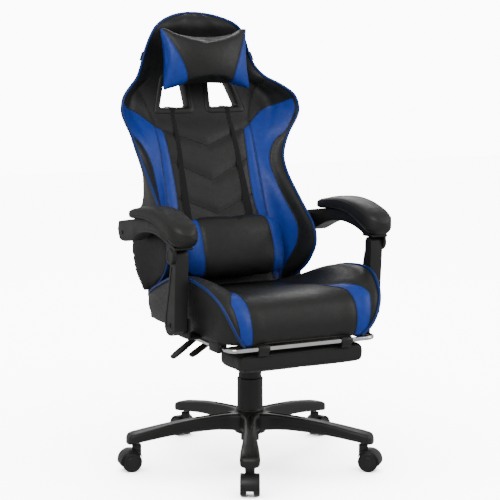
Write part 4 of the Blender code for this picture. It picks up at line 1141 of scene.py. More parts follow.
def make_lumbar_straps(sizes):
    """Straps from the lumbar pillow up through the belt holes and down the rear of the backrest."""
    thick = 0.0018
    for name, side in SIDES:
        foot = side * 0.099
        top = side * 0.086
        sill = HOLE_CORNERS[0][1]
        path = []
        for z in np.linspace(0.560, sill - 0.016, 40):
            x = foot + (top - foot) * (z - 0.560) / (sill - 0.560)
            path.append((x, back_front(z) - 0.0032, z))
        path += [(top, back_front(sill) - 0.0078, sill - 0.010),
                 (top, back_front(sill) - 0.0078, sill + 0.002),
                 (top, back_front(sill) - 0.0030, sill + 0.0055)]
        for share in (0.25, 0.5, 0.75):
            path.append((top, back_front(sill) + share * (back_rear(sill) - back_front(sill)), sill + 0.0055))
        path += [(top, back_rear(sill) + 0.0035, sill + 0.0055),
                 (top, back_rear(sill) + 0.0075, sill + 0.001),
                 (top, back_rear(sill) + 0.0072, sill - 0.012)]
        for z in np.linspace(sill - 0.030, 0.490, 40):
            path.append((top + (foot - top) * (sill - z) / (sill - 0.49), back_rear(z) + 0.0060, z))
        smooth_path = resample(spline(path, 3), 190)
        widths = [sizes.strap_width * (0.67 + 0.80 * min(max((0.86 - point[2]) / 0.24, 0.0), 1.0))
                  for point in smooth_path]
        strap = band(f"lumbar_strap_{name}", smooth_path, widths, thick, (1.0, 0.0, 0.0))
        finish_piece(strap, "backrest", "black_plastic")


def make_head_strap(sizes):
    """Elastic of the head pillow, round the head part of the backrest."""
    rings = []
    half = 0.5 * sizes.head_strap_width
    for height, out in ((-half, 0.0004), (-half, 0.0030), (half, 0.0030), (half, 0.0004)):
        z = 1.094 + height
        front, back = back_half_ring(z)
        ring = [(x, y, z) for x, y in front] + [(x, y, z) for x, y in back[1:]]
        ring += [(-x, y, z) for x, y, _ in reversed(ring[1:-1])]
        ring = np.array(ring)
        middle = np.array((0.0, ring[:, 1].mean(), 0.0))
        flat = (ring - middle) * np.array((1.0, 1.0, 0.0))
        rings.append(ring + flat / np.linalg.norm(flat, axis=1)[:, None] * (out + 0.0050))
    count = len(rings[0])
    faces = []
    for level in range(4):
        after = (level + 1) % 4
        for index in range(count):
            ahead = (index + 1) % count
            faces.append((level * count + index, level * count + ahead, after * count + ahead,
                          after * count + index))
    verts = [tuple(point) for ring in rings for point in ring]
    strap = mesh_object("head_strap", verts, faces, material("webbing"))
    strap.data.set_sharp_from_angle(angle=0.9)
    finish_piece(strap, "backrest", "black_plastic")


# ---- seat pieces -----------------------------------------------------------------------------------
# the coloured bands of the seat as (share of the row count, inner half x, outer half x)
SEAT_BAND = ((0.00, 0.1275, 0.1277), (0.30, 0.1275, 0.1277), (0.50, 0.1280, 0.1300), (0.585, 0.1340, 0.1400),
             (0.625, 0.1370, 0.1500), (0.66, 0.1400, 0.1630), (0.70, 0.1460, 0.1750), (0.74, 0.1510, 0.1910),
             (0.78, 0.1515, 0.2010), (0.83, 0.1525, 0.1960), (0.88, 0.1520, 0.1915), (0.93, 0.1500, 0.1870),
             (0.97, 0.1485, 0.1830), (1.00, 0.1470, 0.1810))
BAND_TAIL = 0.60            # share of the rows over which the band is a narrow tape


def make_seat(sizes):
    skin = seat_skin()
    skin.data.materials.append(material("leather"))
    welt = [tuple(point) for point in resample(spline(SEAT_WELT, 12), 260)]
    places = points_of(skin)
    per_ring = 2 * (SEAT_TOP_COLUMNS + SEAT_SIDE_COLUMNS + SEAT_FLOOR_COLUMNS)
    rows = np.arange(len(places)) // per_ring / (SEAT_ROWS - 1.0)
    column = np.arange(len(places)) % per_ring
    column = np.minimum(column, per_ring - column)
    table = np.array(SEAT_BAND)
    inner = np.interp(rows, table[:, 0], table[:, 1])
    outer = np.interp(rows, table[:, 0], table[:, 2])
    reach = np.abs(places[:, 0])
    on_top = column <= SEAT_TOP_COLUMNS
    blue = np.where(on_top, np.minimum(reach - inner, outer - reach), -0.02)
    seam = np.where(on_top, np.minimum(np.abs(reach - inner), np.abs(outer - reach)), 0.05)
    seam = np.minimum(seam, nearest(places, welt + mirrored(welt)))
    folds = []
    for edge in (1, 2):
        for side in (1, -1):
            line = []
            for row in range(2, SEAT_ROWS - 1):
                ring = places[row * per_ring:row * per_ring + SEAT_TOP_COLUMNS + 1]
                x = np.interp(row / (SEAT_ROWS - 1.0), table[:, 0], table[:, edge])
                line.append((side * x, np.interp(x, ring[:, 0], ring[:, 1]),
                             np.interp(x, ring[:, 0], ring[:, 2])))
            folds.append(line)
    quilt(skin, np.where(column <= SEAT_TOP_COLUMNS + SEAT_SIDE_COLUMNS, seam, 0.0), sizes.puff, 0.012)
    set_attribute(skin, "blue", blue)
    skin.data.attributes["seam"].data.foreach_set("value", np.full(len(places), 0.05, np.float32))
    skin.data.shade_smooth()
    finish_piece(skin, "seat", "seat_leather", "seat_cushion")

    tree = surface(skin)
    tails = [drape(tree, line[:int(BAND_TAIL * len(line))], 110, 0.0) for line in folds[:2]]
    finish_piece(cord_run("seat_band_tails", tails, 0.0016, "piping", 8), "seat", "seat_leather")
    paths = [drape(tree, line, 170, -0.0001) for line in folds]
    stitches = [drape(tree, line, 170, 0.0002, shift) for line in folds[:2] for shift in (-0.0026, 0.0026)]
    finish_piece(cord_run("seat_seam_folds", paths, 0.0007, "black_leather", 6), "seat", "seat_leather")
    finish_piece(stitch_run("seat_stitches", stitches, sizes), "seat", "seat_leather")
    cords = [welt, mirrored(welt)]
    finish_piece(cord_run("seat_piping", cords, sizes.piping_radius, "piping", 12), "seat", "seat_leather")


# ---- armrests --------------------------------------------------------------------------------------
# y, underside, top, half width
PAD_STATIONS = (
    (-0.2215, 0.6500, 0.6600, 0.0062),
    (-0.2190, 0.6430, 0.6650, 0.0149),
    (-0.2140, 0.6355, 0.6730, 0.0234),
    (-0.2060, 0.6285, 0.6810, 0.0312),
    (-0.1960, 0.6262, 0.6875, 0.0365),
    (-0.1820, 0.6290, 0.6940, 0.0390),
    (-0.1700, 0.6335, 0.6985, 0.0390),
    (-0.1360, 0.6490, 0.7080, 0.0390),
    (-0.1000, 0.6640, 0.7138, 0.0390),
    (-0.0560, 0.6745, 0.7170, 0.0390),
    (0.0000, 0.6772, 0.7135, 0.0390),
    (0.0450, 0.6745, 0.7055, 0.0378),
    (0.0700, 0.6725, 0.7010, 0.0360),
    (0.0800, 0.6715, 0.6970, 0.0320),
    (0.0845, 0.6720, 0.6920, 0.0240),
)
PAD_X = 0.285
ARM_INNER_X = 0.262
ARM_OUTER_X = 0.308
POST_INNER_X = 0.268
POST_OUTER_X = 0.3035
ARM_TOP = ((0.174, 0.657), (0.096, 0.669), (0.032, 0.6765), (-0.030, 0.6785), (-0.074, 0.672),
           (-0.110, 0.661), (-0.144, 0.645), (-0.179, 0.630), (-0.198, 0.6268))
ARM_BOTTOM = ((-0.198, 0.6205), (-0.152, 0.6205), (-0.144, 0.628), (-0.100, 0.641), (-0.050, 0.6475),
              (0.000, 0.6455), (0.040, 0.638), (0.075, 0.626), (0.110, 0.612), (0.133, 0.606), (0.168, 0.609),
              (0.182, 0.635))
ARM_PIVOT = (0.139, 0.634)
POST_TOP = (-0.167, 0.603)
POST_REAR = ((-0.160, 0.397), (-0.128, 0.397), (-0.112, 0.412), (-0.112, 0.440), (-0.136, 0.520),
             (-0.151, 0.585))
POST_FRONT = ((-0.183, 0.585), (-0.177, 0.500), (-0.173, 0.412))


def arc(centre, radius, start, end, steps):
    """Points of an arc, angles in degrees."""
    points = []
    for step in range(steps + 1):
        angle = math.radians(start + (end - start) * step / steps)
        points.append((centre[0] + radius * math.cos(angle), centre[1] + radius * math.sin(angle)))
    return points


def make_arm_pads(sizes):
    for name, side in SIDES:
        rings = []
        seam = []
        for y, low, high, half in spline(PAD_STATIONS, 5):
            middle = 0.5 * (low + high)
            rings.append([(side * PAD_X + half * a, y, middle + 0.5 * (high - low) * b)
                          for a, b in superellipse(36, 2.9)])
            seam.append((half, y, middle - 0.22 * (high - low), middle + 0.26 * (high - low)))
        pad = loft(f"arm_pad_foam_{name}", rings, material("foam"))
        finish_piece(pad, f"arm_{name}", "arm_pad", f"arm_pad_{name}")
        tree = surface(pad)
        lines = []
        for level in (2, 3):
            loop = [(side * PAD_X + row[0], row[1], row[level]) for row in seam]
            loop += [(side * PAD_X - row[0], row[1], row[level]) for row in reversed(seam)]
            lines.append(drape(tree, loop + loop[:1], 240, 0.0001))
        finish_piece(cord_run(f"arm_pad_seam_{name}", lines, 0.0010, "foam", 8), f"arm_{name}", "arm_pad")


# profile of the disc round the post's pin: radius, distance outwards
PIN_DISC = ((0.0, 0.0), (0.021, 0.0), (0.021, 0.0095), (0.0150, 0.0100), (0.0142, 0.0088), (0.0, 0.0088))
# outlines in y, z
ARM_LUG = ((-0.190, 0.600), (-0.190, 0.629), (-0.146, 0.640), (-0.144, 0.600))
ARM_BLOCK = ((-0.196, 0.6195), (-0.196, 0.6260), (-0.146, 0.6400), (-0.146, 0.6195))
POST_PANEL = ((-0.170, 0.418), (-0.122, 0.418), (-0.121, 0.440), (-0.143, 0.518), (-0.157, 0.575),
              (-0.177, 0.575), (-0.171, 0.500))
LUG_THICKNESS = 0.0075
RIM_INSET = 0.0055
# profile of the collar round an arm pin: radius, distance outwards
ARM_COLLAR = ((0.0075, 0.0), (0.026, 0.0), (0.0235, 0.030), (0.0200, 0.0385), (0.0075, 0.0385))


def make_arm_frames(sizes):
    for name, side in SIDES:
        top = [tuple(point) for point in spline(ARM_TOP, 4)]
        bottom = [tuple(point) for point in spline(ARM_BOTTOM, 4)]
        arm = prism(f"arm_beam_{name}", top + bottom, side * ARM_INNER_X, side * ARM_OUTER_X,
                    material("abs"))
        soften(arm, 0.0045, 3)
        disc_in = POST_OUTER_X + 0.0003
        disc = turned("disc", rounded_profile(PIN_DISC, 0.0016), material("abs"),
                      (side * disc_in, *POST_TOP), (side, 0.0, 0.0), 48)
        lug = prism("lug", round_outline(list(ARM_LUG), 0.006), side * disc_in,
                    side * (disc_in + LUG_THICKNESS), material("abs"))
        soften(lug, 0.0015, 2)
        block = prism("block", round_outline(list(ARM_BLOCK), 0.003), side * (ARM_INNER_X + 0.001),
                      side * (disc_in + LUG_THICKNESS), material("abs"))
        soften(block, 0.0015, 2)
        union(arm, [disc, lug, block])
        smooth_shaded(arm, 0.7)
        finish_piece(arm, f"arm_{name}", "black_plastic", f"arm_frame_{name}")
        face = side * (ARM_OUTER_X - 0.0004)
        rims = [[(face, y, z - RIM_INSET) for y, z in top[2:-8]],
                [(face, y, z + RIM_INSET) for y, z in bottom[8:-3]]]
        finish_piece(cord_run(f"arm_rims_{name}", rims, 0.0014, "abs", 8), f"arm_{name}", "black_plastic")
        caps = screw_run(f"arm_screws_{name}", [(side * (ARM_OUTER_X + 0.0002), 0.152, 0.628)],
                         (side, 0.0, 0.0), 0.0055, 0.003)
        finish_piece(caps, f"arm_{name}", "steel")


def make_posts(sizes):
    for name, side in SIDES:
        crown = arc(POST_TOP, 0.015, 0.0, 180.0, 12)
        outline = round_outline(list(POST_REAR), 0.010, 3)[3:] + crown + list(POST_FRONT)
        post = prism(f"arm_post_shell_{name}", outline, side * POST_INNER_X, side * POST_OUTER_X,
                     material("abs"))
        soften(post, 0.0035, 3)
        panel = prism("panel", round_outline(list(POST_PANEL), 0.006), side * (POST_OUTER_X - 0.0012),
                      side * (POST_OUTER_X + 0.01))
        subtract(post, [panel])
        smooth_shaded(post, 0.7)
        finish_piece(post, f"post_{name}", "black_plastic", f"arm_post_{name}")
        screws = screw_run(f"post_screws_{name}", [(side * (POST_OUTER_X - 0.0006), -0.142, 0.424)],
                           (side, 0.0, 0.0), 0.0058, 0.0026)
        finish_piece(screws, f"post_{name}", "steel")


def make_arm_bosses(sizes):
    """Moulded collars round the arm pins, between the backrest's side and the arm."""
    for name, side in SIDES:
        boss = turned(f"arm_boss_{name}", rounded_profile(ARM_COLLAR, 0.002), material("abs"),
                      (side * 0.2232, *ARM_PIVOT), (side, 0.0, 0.0), 48)
        finish_piece(boss, "backrest", "black_plastic")


# ---- base ------------------------------------------------------------------------------------------
LEG_COUNT = 5
STEM_REACH = 0.318
LEG_TIP = 0.026
# share of the leg's reach, top z, underside z, width
LEG_ROWS = ((0.06, 0.1385, 0.086, 0.040), (0.30, 0.1340, 0.093, 0.033), (0.60, 0.1240, 0.089, 0.037),
            (0.86, 0.1090, 0.079, 0.050), (0.97, 0.1010, 0.0735, 0.051), (1.00, 0.0900, 0.0730, 0.040))
WHEEL_RADIUS = 0.027
CASTER_TRAIL = 0.017
# profiles round an axis: radius, then z or the distance along the axle
HUB = ((0.0258, 0.0800), (0.0400, 0.0800), (0.0440, 0.0850), (0.0440, 0.1270), (0.0420, 0.1300),
       (0.0420, 0.1360), (0.0400, 0.1393), (0.0258, 0.1393))
STEM_SOCKET = ((0.0057, 0.040), (0.0125, 0.040), (0.0125, 0.0700), (0.0115, 0.0705), (0.0057, 0.0705))
WHEEL = ((0.0042, 0.00875), (0.0230, 0.00875), (0.0270, 0.0115), (0.0270, 0.0215), (0.0255, 0.0243),
         (0.0232, 0.02525), (0.0205, 0.02525), (0.0198, 0.0238), (0.0130, 0.0238), (0.0122, 0.0248),
         (0.0, 0.0248), (0.0, 0.0237), (0.0042, 0.0237))
WHEEL_SPACE = ((0.0, 0.0), (0.0283, 0.0), (0.0283, 0.04), (0.0, 0.04))
CHANNEL_START, CHANNEL_END = 0.150, 0.470       # share of the leg's reach


def up_by(height):
    return Vector((0.0, 0.0, height))


def caster_frame(number):
    """Foot of a caster's stem from the swivel axis, and its outward and sideways directions."""
    place = Vector(JOINTS[f"caster_{number}_swivel"]["pos_m"]) - AXIS
    outward = Vector((place.x, place.y, 0.0)).normalized()
    return Vector((place.x, place.y, 0.0)), outward, Vector((-outward.y, outward.x, 0.0))


def make_base(sizes):
    base = turned("base_hub", rounded_profile(HUB, 0.002), material("nylon"), segments=72)
    reach = STEM_REACH + LEG_TIP
    legs = []
    ribs = []
    for number in range(1, LEG_COUNT + 1):
        _, outward, sideways = caster_frame(number)
        rings = []
        rib = []
        for share in np.concatenate([np.linspace(0.09, 0.95, 26), (0.965, 0.98, 0.992, 1.0)]):
            top, bottom, width = smooth_table(LEG_ROWS, share)
            along = share * reach
            flare = 0.012 * math.exp(-((along - 0.030) / 0.022) ** 2)
            half = 0.5 * width + flare
            if share > 0.98:
                half *= 1.0 - 0.35 * ((share - 0.98) / 0.02) ** 2
            middle = 0.5 * (top + bottom)
            rings.append([outward * along + sideways * (half * a) + up_by(middle + 0.5 * (top - bottom) * b)
                          for a, b in superellipse(32, 4.2)])
            if 0.16 < share < 0.92:
                rib.append((outward * along, half, bottom + 0.30 * (top - bottom)))
        leg = loft("leg", rings, material("nylon"))
        channel = []
        for share in np.linspace(CHANNEL_START, CHANNEL_END, 24):
            top = smooth_table(LEG_ROWS, share)[0]
            ends = min((share - CHANNEL_START) / 0.03, (CHANNEL_END - share) / 0.04, 1.0)
            half = 0.0078 * math.sqrt(max(ends * (2.0 - ends), 0.01))
            channel.append([outward * (share * reach) + sideways * (half * a) + up_by(top + 0.005 * b)
                            for a, b in superellipse(16, 3.0)])
        subtract(leg, [loft("channel", channel)])
        legs.append(leg)
        for side in (-1, 1):
            ribs.append([point + sideways * (side * (half - 0.0002)) + up_by(z)
                         for point, half, z in rib])
    union(base, legs)
    smooth_shaded(base, 0.6)
    finish_piece(base, "base", "base_nylon", "star_base")
    finish_piece(cord_run("base_leg_ribs", ribs, 0.0009, "nylon", 8), "base", "base_nylon")


def make_casters(sizes):
    for number in range(1, LEG_COUNT + 1):
        foot, outward, sideways = caster_frame(number)
        hub = foot + outward * CASTER_TRAIL + up_by(WHEEL_RADIUS)
        outline = arc((CASTER_TRAIL, WHEEL_RADIUS), 0.0312, -16.0, 152.0, 26)
        outline += arc((CASTER_TRAIL, WHEEL_RADIUS), 0.0100, 190.0, 330.0, 8)
        rings = [[foot + outward * along + sideways * across + up_by(z) for along, z in outline]
                 for across in (-0.025, 0.025)]
        hood = loft(f"caster_fork_{number}", rings, material("nylon"))
        soften(hood, 0.0030, 3, 0.8)
        boss = turned("boss", rounded_profile(STEM_SOCKET, 0.0008), material("nylon"), foot)
        spaces = [turned("space", WHEEL_SPACE, None, hub + sideways * (side * 0.0078), sideways * side, 64)
                  for side in (-1, 1)]
        subtract(hood, spaces)
        union(hood, [boss])
        smooth_shaded(hood, 0.6)
        finish_piece(hood, f"caster_{number}", "base_nylon", f"caster_hood_{number}")
        profile = rounded_profile(WHEEL, 0.0006, 2)
        wheels = [turned("wheel", profile, material("tread"), hub, sideways * side, 56) for side in (-1, 1)]
        pair = union(wheels[0], wheels[1:])
        pair.name = f"caster_wheels_{number}"
        smooth_shaded(pair, 0.6)
        finish_piece(pair, f"wheels_{number}", "caster_tread", f"caster_wheel_{number}_a",
                     f"caster_wheel_{number}_b")


# ---- column and mechanism --------------------------------------------------------------------------
def make_column(sizes):
    lower = ((0.0325, 0.1398), (0.0378, 0.1398), (0.0378, 0.1450), (0.0352, 0.1480), (0.0346, 0.2240),
             (0.0352, 0.2255), (0.0352, 0.2300), (0.0340, 0.2310), (0.0325, 0.2310))
    cover = turned("column_sleeve_lower", rounded_profile(lower, 0.0008, 2), material("nylon"))
    finish_piece(cover, "base", "black_plastic", "column_cover_lower")
    upper = ((0.0295, 0.1750), (0.0312, 0.1750), (0.0312, 0.3230), (0.0322, 0.3245), (0.0322, 0.3300),
             (0.0310, 0.3325), (0.0146, 0.3325), (0.0146, 0.3297), (0.0295, 0.3297))
    sleeve = turned("column_sleeve_upper", rounded_profile(upper, 0.0008, 2), material("nylon"))
    finish_piece(sleeve, "lift", "black_plastic", "column_cover_upper")


def refined(name, node, width, finish, body, slot_name):
    """A CAD solid with its sharp edges broken, in its real finish."""
    source = frame["nodes"][node]
    mesh = source.data.copy()
    shape = bmesh.new()
    shape.from_mesh(mesh)
    bmesh.ops.remove_doubles(shape, verts=shape.verts, dist=1e-6)
    bmesh.ops.dissolve_limit(shape, angle_limit=0.01, verts=shape.verts, edges=shape.edges)
    shape.to_mesh(mesh)
    shape.free()
    mesh.materials.clear()
    mesh.materials.append(material(finish))
    item = bpy.data.objects.new(name, mesh)
    bpy.context.scene.collection.objects.link(item)
    soften(item, width, 2, 0.7)
    return finish_piece(item, body, slot_name, node)


def make_mechanism(sizes):
    refined("mechanism_case", "mechanism_housing", 0.0020, "coat", "lift", "painted_steel")
    refined("seat_plate_pressing", "seat_plate", 0.0008, "coat", "seat", "painted_steel")
    for name, _ in SIDES:
        refined(f"arm_bracket_pressing_{name}", f"arm_bracket_{name}", 0.0008, "coat", "seat",
                "painted_steel")
        refined(f"recline_bracket_pressing_{name}", f"recline_bracket_{name}", 0.0006, "coat", "seat",
                "painted_steel")
        refined(f"rail_guide_block_{name}", f"rail_guide_{name}", 0.0015, "nylon", "seat",
                "black_plastic")
    heads = [(x, y, 0.3858) for x in (-0.070, 0.070) for y in (-0.110, 0.110)]
    finish_piece(screw_run("seat_plate_screws", heads, (0.0, 0.0, -1.0), 0.0060, 0.0040), "seat", "steel")
    fluted_knob()


KNOB_Y = -0.090
# z, radius, share of the flutes' full depth
KNOB_ROWS = ((0.2940, 0.0, 0.0), (0.2940, 0.0150, 0.0), (0.2948, 0.0175, 0.3), (0.2975, 0.0205, 0.8),
             (0.3010, 0.0210, 1.0), (0.3150, 0.0210, 1.0), (0.3185, 0.0200, 0.7), (0.3220, 0.0165, 0.2),
             (0.3240, 0.0148, 0.0), (0.3320, 0.0142, 0.0), (0.3324, 0.0050, 0.0), (0.3590, 0.0047, 0.0),
             (0.3594, 0.0, 0.0))


def fluted_knob():
    """Tension knob with finger flutes."""
    rings = []
    for z, radius, depth in KNOB_ROWS:
        ring = []
        for step in range(96):
            angle = 2.0 * math.pi * step / 96
            spread = max(radius, 1e-5) * (1.0 - 0.075 * depth * (0.5 + 0.5 * math.cos(8.0 * angle)) ** 2)
            ring.append((spread * math.cos(angle), KNOB_Y + spread * math.sin(angle), z))
        rings.append(ring)
    knob = loft("tension_handwheel", rings, material("nylon"))
    knob.data.set_sharp_from_angle(angle=0.7)
    finish_piece(knob, "tension_knob", "black_plastic", "tension_knob")


# name, path of the rod, tip of the paddle
LEVERS = (("height", ((-0.0482, -0.030, 0.350), (-0.115, -0.030, 0.3495), (-0.140, -0.030, 0.344)),
           (-0.193, -0.030, 0.313)),
          ("recline", ((-0.0885, 0.014, 0.3870), (-0.120, 0.014, 0.376), (-0.150, 0.014, 0.3560)),
           (-0.227, 0.014, 0.303)))
# share of the way to the tip, half width, thickness
PADDLE_ROWS = ((-0.36, 0.0045, 0.0045), (-0.20, 0.0065, 0.0060), (0.10, 0.0080, 0.0062),
               (0.40, 0.0105, 0.0058), (0.70, 0.0130, 0.0052), (0.90, 0.0128, 0.0044),
               (0.97, 0.0105, 0.0036), (1.00, 0.0060, 0.0022))


def make_levers(sizes):
    """Bent rods with flat moulded paddles that have a raised rim."""
    for name, path, tip in LEVERS:
        start = Vector(path[-1])
        run = Vector(tip) - start
        across = Vector((0.0, 1.0, 0.0))
        up = run.normalized().cross(across)
        rings = []
        for share, wide, thick in map(tuple, spline(PADDLE_ROWS, 4)):
            ring = []
            for a, b in superellipse(28, 2.6):
                dish = 1.0 - 0.38 * math.exp(-(a / 0.55) ** 4) * min(max((share - 0.2) / 0.3, 0.0), 1.0)
                ring.append(start + run * float(share) + across * float(wide * a)
                            + up * float(1.25 * thick * b * dish))
            rings.append(ring)
        paddle = loft(f"{name}_lever_paddle", rings, material("nylon"))
        stem = [tuple(point) for point in spline(path, 6)]
        rod = cord_run("rod", [stem + [tuple(start + 0.1 * run)]], 0.0035, "nylon", 12)
        union(paddle, [rod])
        paddle.data.shade_smooth()
        finish_piece(paddle, f"{name}_lever", "black_plastic", f"{name}_lever")


# ---- footrest --------------------------------------------------------------------------------------
RAIL_HALF_SPAN = 0.210
RAIL_RADIUS = 0.006
RAIL_Z = 0.375
BAR_Y = -0.303
BAR_CORNER = 0.028
REST_HALF_WIDTH = 0.181
REST_ROUND = 0.012          # rounding of the pad's ends
# profile of a hinge sleeve: radius, distance along the bar
SLEEVE = ((0.0066, -0.015), (0.0105, -0.015), (0.0105, 0.015), (0.0066, 0.015))


def make_footrest(sizes):
    corner = arc((RAIL_HALF_SPAN - BAR_CORNER, BAR_Y + BAR_CORNER), BAR_CORNER, 0.0, -90.0, 12)
    half = [(RAIL_HALF_SPAN, 0.060)]
    half += [(RAIL_HALF_SPAN, y) for y in np.linspace(0.04, BAR_Y + BAR_CORNER, 12)][:-1]
    half += corner
    path = [(x, y, RAIL_Z) for x, y in half]
    path += [(x, BAR_Y, RAIL_Z) for x in np.linspace(0.16, -0.16, 15)]
    path += [(-x, y, RAIL_Z) for x, y in reversed(half)]
    rail = cord_run("footrest_rail", [path], RAIL_RADIUS, "chrome", 32)
    rail.data.set_sharp_from_angle(angle=0.9)
    finish_piece(rail, "footrest_slide", "chrome_rail", "footrest_frame")

    front, back = BAR_Y + 0.0045, BAR_Y + 0.1325
    low, high = 0.3130, 0.3630
    rings = []
    rows = 40
    for row in range(rows + 1):
        share = -1.0 + 2.0 * row / rows
        x = REST_HALF_WIDTH * share
        ends = math.sqrt(max(1.0 - max(0.0, (abs(x) - 0.169) / REST_ROUND) ** 2, 0.0))
        draw = REST_ROUND * (1.0 - ends)
        crown = 0.003 * (1.0 - share ** 6)
        ring = []
        for a, b in superellipse(56, 7.0):
            y = 0.5 * (front + back) + (0.5 * (back - front) - draw) * a
            z = 0.5 * (low + high) + (0.5 * (high - low) - draw - 0.002) * b
            z += crown * b * (1.0 - a ** 6)
            ring.append((x, y, z))
        rings.append(ring)
    pad = loft("footrest_cushion", rings, material("black_leather"))
    inflate(pad, 0.006, 0.0015, 2.0)
    set_attribute(pad, "seam", np.full(len(pad.data.vertices), 0.05))
    finish_piece(pad, "footrest_flip", "footrest_leather", "footrest_pad")
    tree = surface(pad)
    seams = []
    for z in (high - 0.010, low + 0.010):
        loop = round_outline([(-0.179, front + 0.001), (0.179, front + 0.001), (0.179, back - 0.001),
                              (-0.179, back - 0.001)], 0.012)
        seams.append(drape(tree, [(x, y, z) for x, y in loop + loop[:1]], 360, 0.0))
    finish_piece(cord_run("footrest_seam_folds", seams, 0.0008, "black_leather", 6), "footrest_flip",
                 "footrest_leather")
    for name, side in SIDES:
        lug = turned(f"footrest_hinge_{name}", rounded_profile(SLEEVE, 0.001, 2), material("nylon"),
                     (side * 0.120, BAR_Y, RAIL_Z), (1.0, 0.0, 0.0), 40)
        web = prism("web", round_outline([(BAR_Y - 0.006, RAIL_Z - 0.0085), (BAR_Y + 0.009, RAIL_Z - 0.0085),
                                          (BAR_Y + 0.012, 0.3560), (BAR_Y - 0.001, 0.3560)], 0.0015, 2),
                    side * 0.106, side * 0.134, material("nylon"))
        union(lug, [web])
        lug.data.set_sharp_from_angle(angle=0.6)
        finish_piece(lug, "footrest_flip", "black_plastic")


# ---- CAD pieces that stay --------------------------------------------------------------------------
def paint_frame(sizes):
    """Finishes of the metal and board pieces that show as they are."""
    finishes = {"gas_column_tube": "coat", "gas_cylinder": "steel", "piston_rod": "steel",
                "thrust_bearing": "steel", "tilt_spring": "steel", "seat_pan": "plywood",
                "back_frame": "coat"}
    for number in range(1, LEG_COUNT + 1):
        finishes[f"caster_stem_{number}"] = "steel"
        finishes[f"caster_axle_{number}"] = "steel"
    for node, finish in finishes.items():
        slots = frame["nodes"][node].material_slots
        if not slots:
            frame["nodes"][node].data.materials.append(material(finish))
        for holder in slots:
            holder.material = material(finish)


# ---- stage -----------------------------------------------------------------------------------------
CAMERA_TURN = math.radians(-27.484)
CAMERA_PITCH = math.radians(7.7806)
LENS = 108.19
AMBIENT = 0.55              # strength of the surround as the chair sees it
BACKDROP = 11.0             # strength of the surround behind the chair
FLOOR_WASH = 34.0           # strength of the sun that reaches the floor only


def area_light(name, place, target, size, energy):
    lamp = bpy.data.lights.new(name, "AREA")
    lamp.shape = "RECTANGLE"
    lamp.size, lamp.size_y = size
    lamp.energy = energy
    item = bpy.data.objects.new(name, lamp)
    item.location = place
    item.rotation_euler = (Vector(target) - Vector(place)).to_track_quat("-Z", "Y").to_euler()
    bpy.context.scene.collection.objects.link(item)


def make_stage(sizes):
    half = 9.0
    corners = [(-half, -half, 0.0), (half, -half, 0.0), (half, half, 0.0), (-half, half, 0.0)]
    floor = mesh_object("floor", corners, [(0, 1, 2, 3)], material("floor"))
    floor.visible_diffuse = False
    floor.visible_glossy = False
    world = bpy.data.worlds.new("studio")
    world.use_nodes = True
    sky = world.node_tree.nodes["Background"]
    sky.inputs["Color"].default_value = (1.0, 1.0, 1.0, 1.0)
    seen = add(world.node_tree, "ShaderNodeLightPath").outputs["Is Camera Ray"]
    strength = add(world.node_tree, "ShaderNodeMapRange", {"Value": seen},
                   {"To Min": AMBIENT, "To Max": BACKDROP})
    world.node_tree.links.new(strength.outputs["Result"], sky.inputs["Strength"])
    bpy.context.scene.world = world
    wash = bpy.data.lights.new("floor_wash", "SUN")
    wash.angle = math.radians(120.0)
    wash.energy = FLOOR_WASH
    item = bpy.data.objects.new("floor_wash", wash)
    bpy.context.scene.collection.objects.link(item)
    lit = bpy.data.collections.new("floor_only")
    lit.objects.link(floor)
    item.light_linking.receiver_collection = lit
    area_light("key", (-2.2, -2.4, 3.2), (0.0, 0.0, 0.7), (1.8, 1.8), 70.0)
    area_light("fill", (2.8, -1.8, 2.0), (0.0, 0.0, 0.6), (1.6, 2.2), 35.0)
    area_light("rim", (1.2, 2.6, 2.6), (0.0, 0.0, 0.8), (2.0, 1.2), 45.0)

    lens = bpy.data.cameras.new("camera")
    lens.lens = LENS
    lens.sensor_width = 36.0
    camera = bpy.data.objects.new("camera", lens)
    away = sizes.camera_distance
    camera.location = AXIS + Vector((away * math.sin(CAMERA_TURN), -away * math.cos(CAMERA_TURN),
                                     sizes.camera_height))
    camera.rotation_euler = (math.radians(90.0) - CAMERA_PITCH, 0.0, CAMERA_TURN)
    bpy.context.scene.collection.objects.link(camera)
    bpy.context.scene.camera = camera


# ---- operators -------------------------------------------------------------------------------------
class CHAIR_OT_stage(bpy.types.Operator):
    """Floor, soft light and camera"""
    bl_idname = "chair.stage"
    bl_label = "Stage"

    def execute(self, context):
        make_stage(context.scene.chair_sizes)
        return {"FINISHED"}


class CHAIR_OT_frame(bpy.types.Operator):
    """Finishes of the steel and plywood pieces of the frame"""
    bl_idname = "chair.frame"
    bl_label = "Frame finishes"

    def execute(self, context):
        paint_frame(context.scene.chair_sizes)
        return {"FINISHED"}


class CHAIR_OT_backrest(bpy.types.Operator):
    """Two-colour backrest upholstery with seams, stitches and piping"""
    bl_idname = "chair.backrest"
    bl_label = "Backrest"

    def execute(self, context):
        make_backrest(context.scene.chair_sizes)
        make_bezels(context.scene.chair_sizes)
        return {"FINISHED"}


class CHAIR_OT_pillows(bpy.types.Operator):
    """Head and lumbar pillows with their straps"""
    bl_idname = "chair.pillows"
    bl_label = "Pillows"

    def execute(self, context):
        sizes = context.scene.chair_sizes
        make_pillow(sizes, "head_pillow_cover", HEAD_CENTRE, HEAD_HALF, HEAD_LEAN, head_outline, 2.0,
                    0.6, HEAD_SEAM, 0.008, "head_pillow")
        make_pillow(sizes, "lumbar_pillow_cover", LUMBAR_CENTRE, LUMBAR_HALF, LUMBAR_LEAN,
                    lumbar_outline, 2.6, 0.3, LUMBAR_SEAM, 0.006, "lumbar_pillow")
        make_lumbar_straps(sizes)
        make_head_strap(sizes)
        return {"FINISHED"}


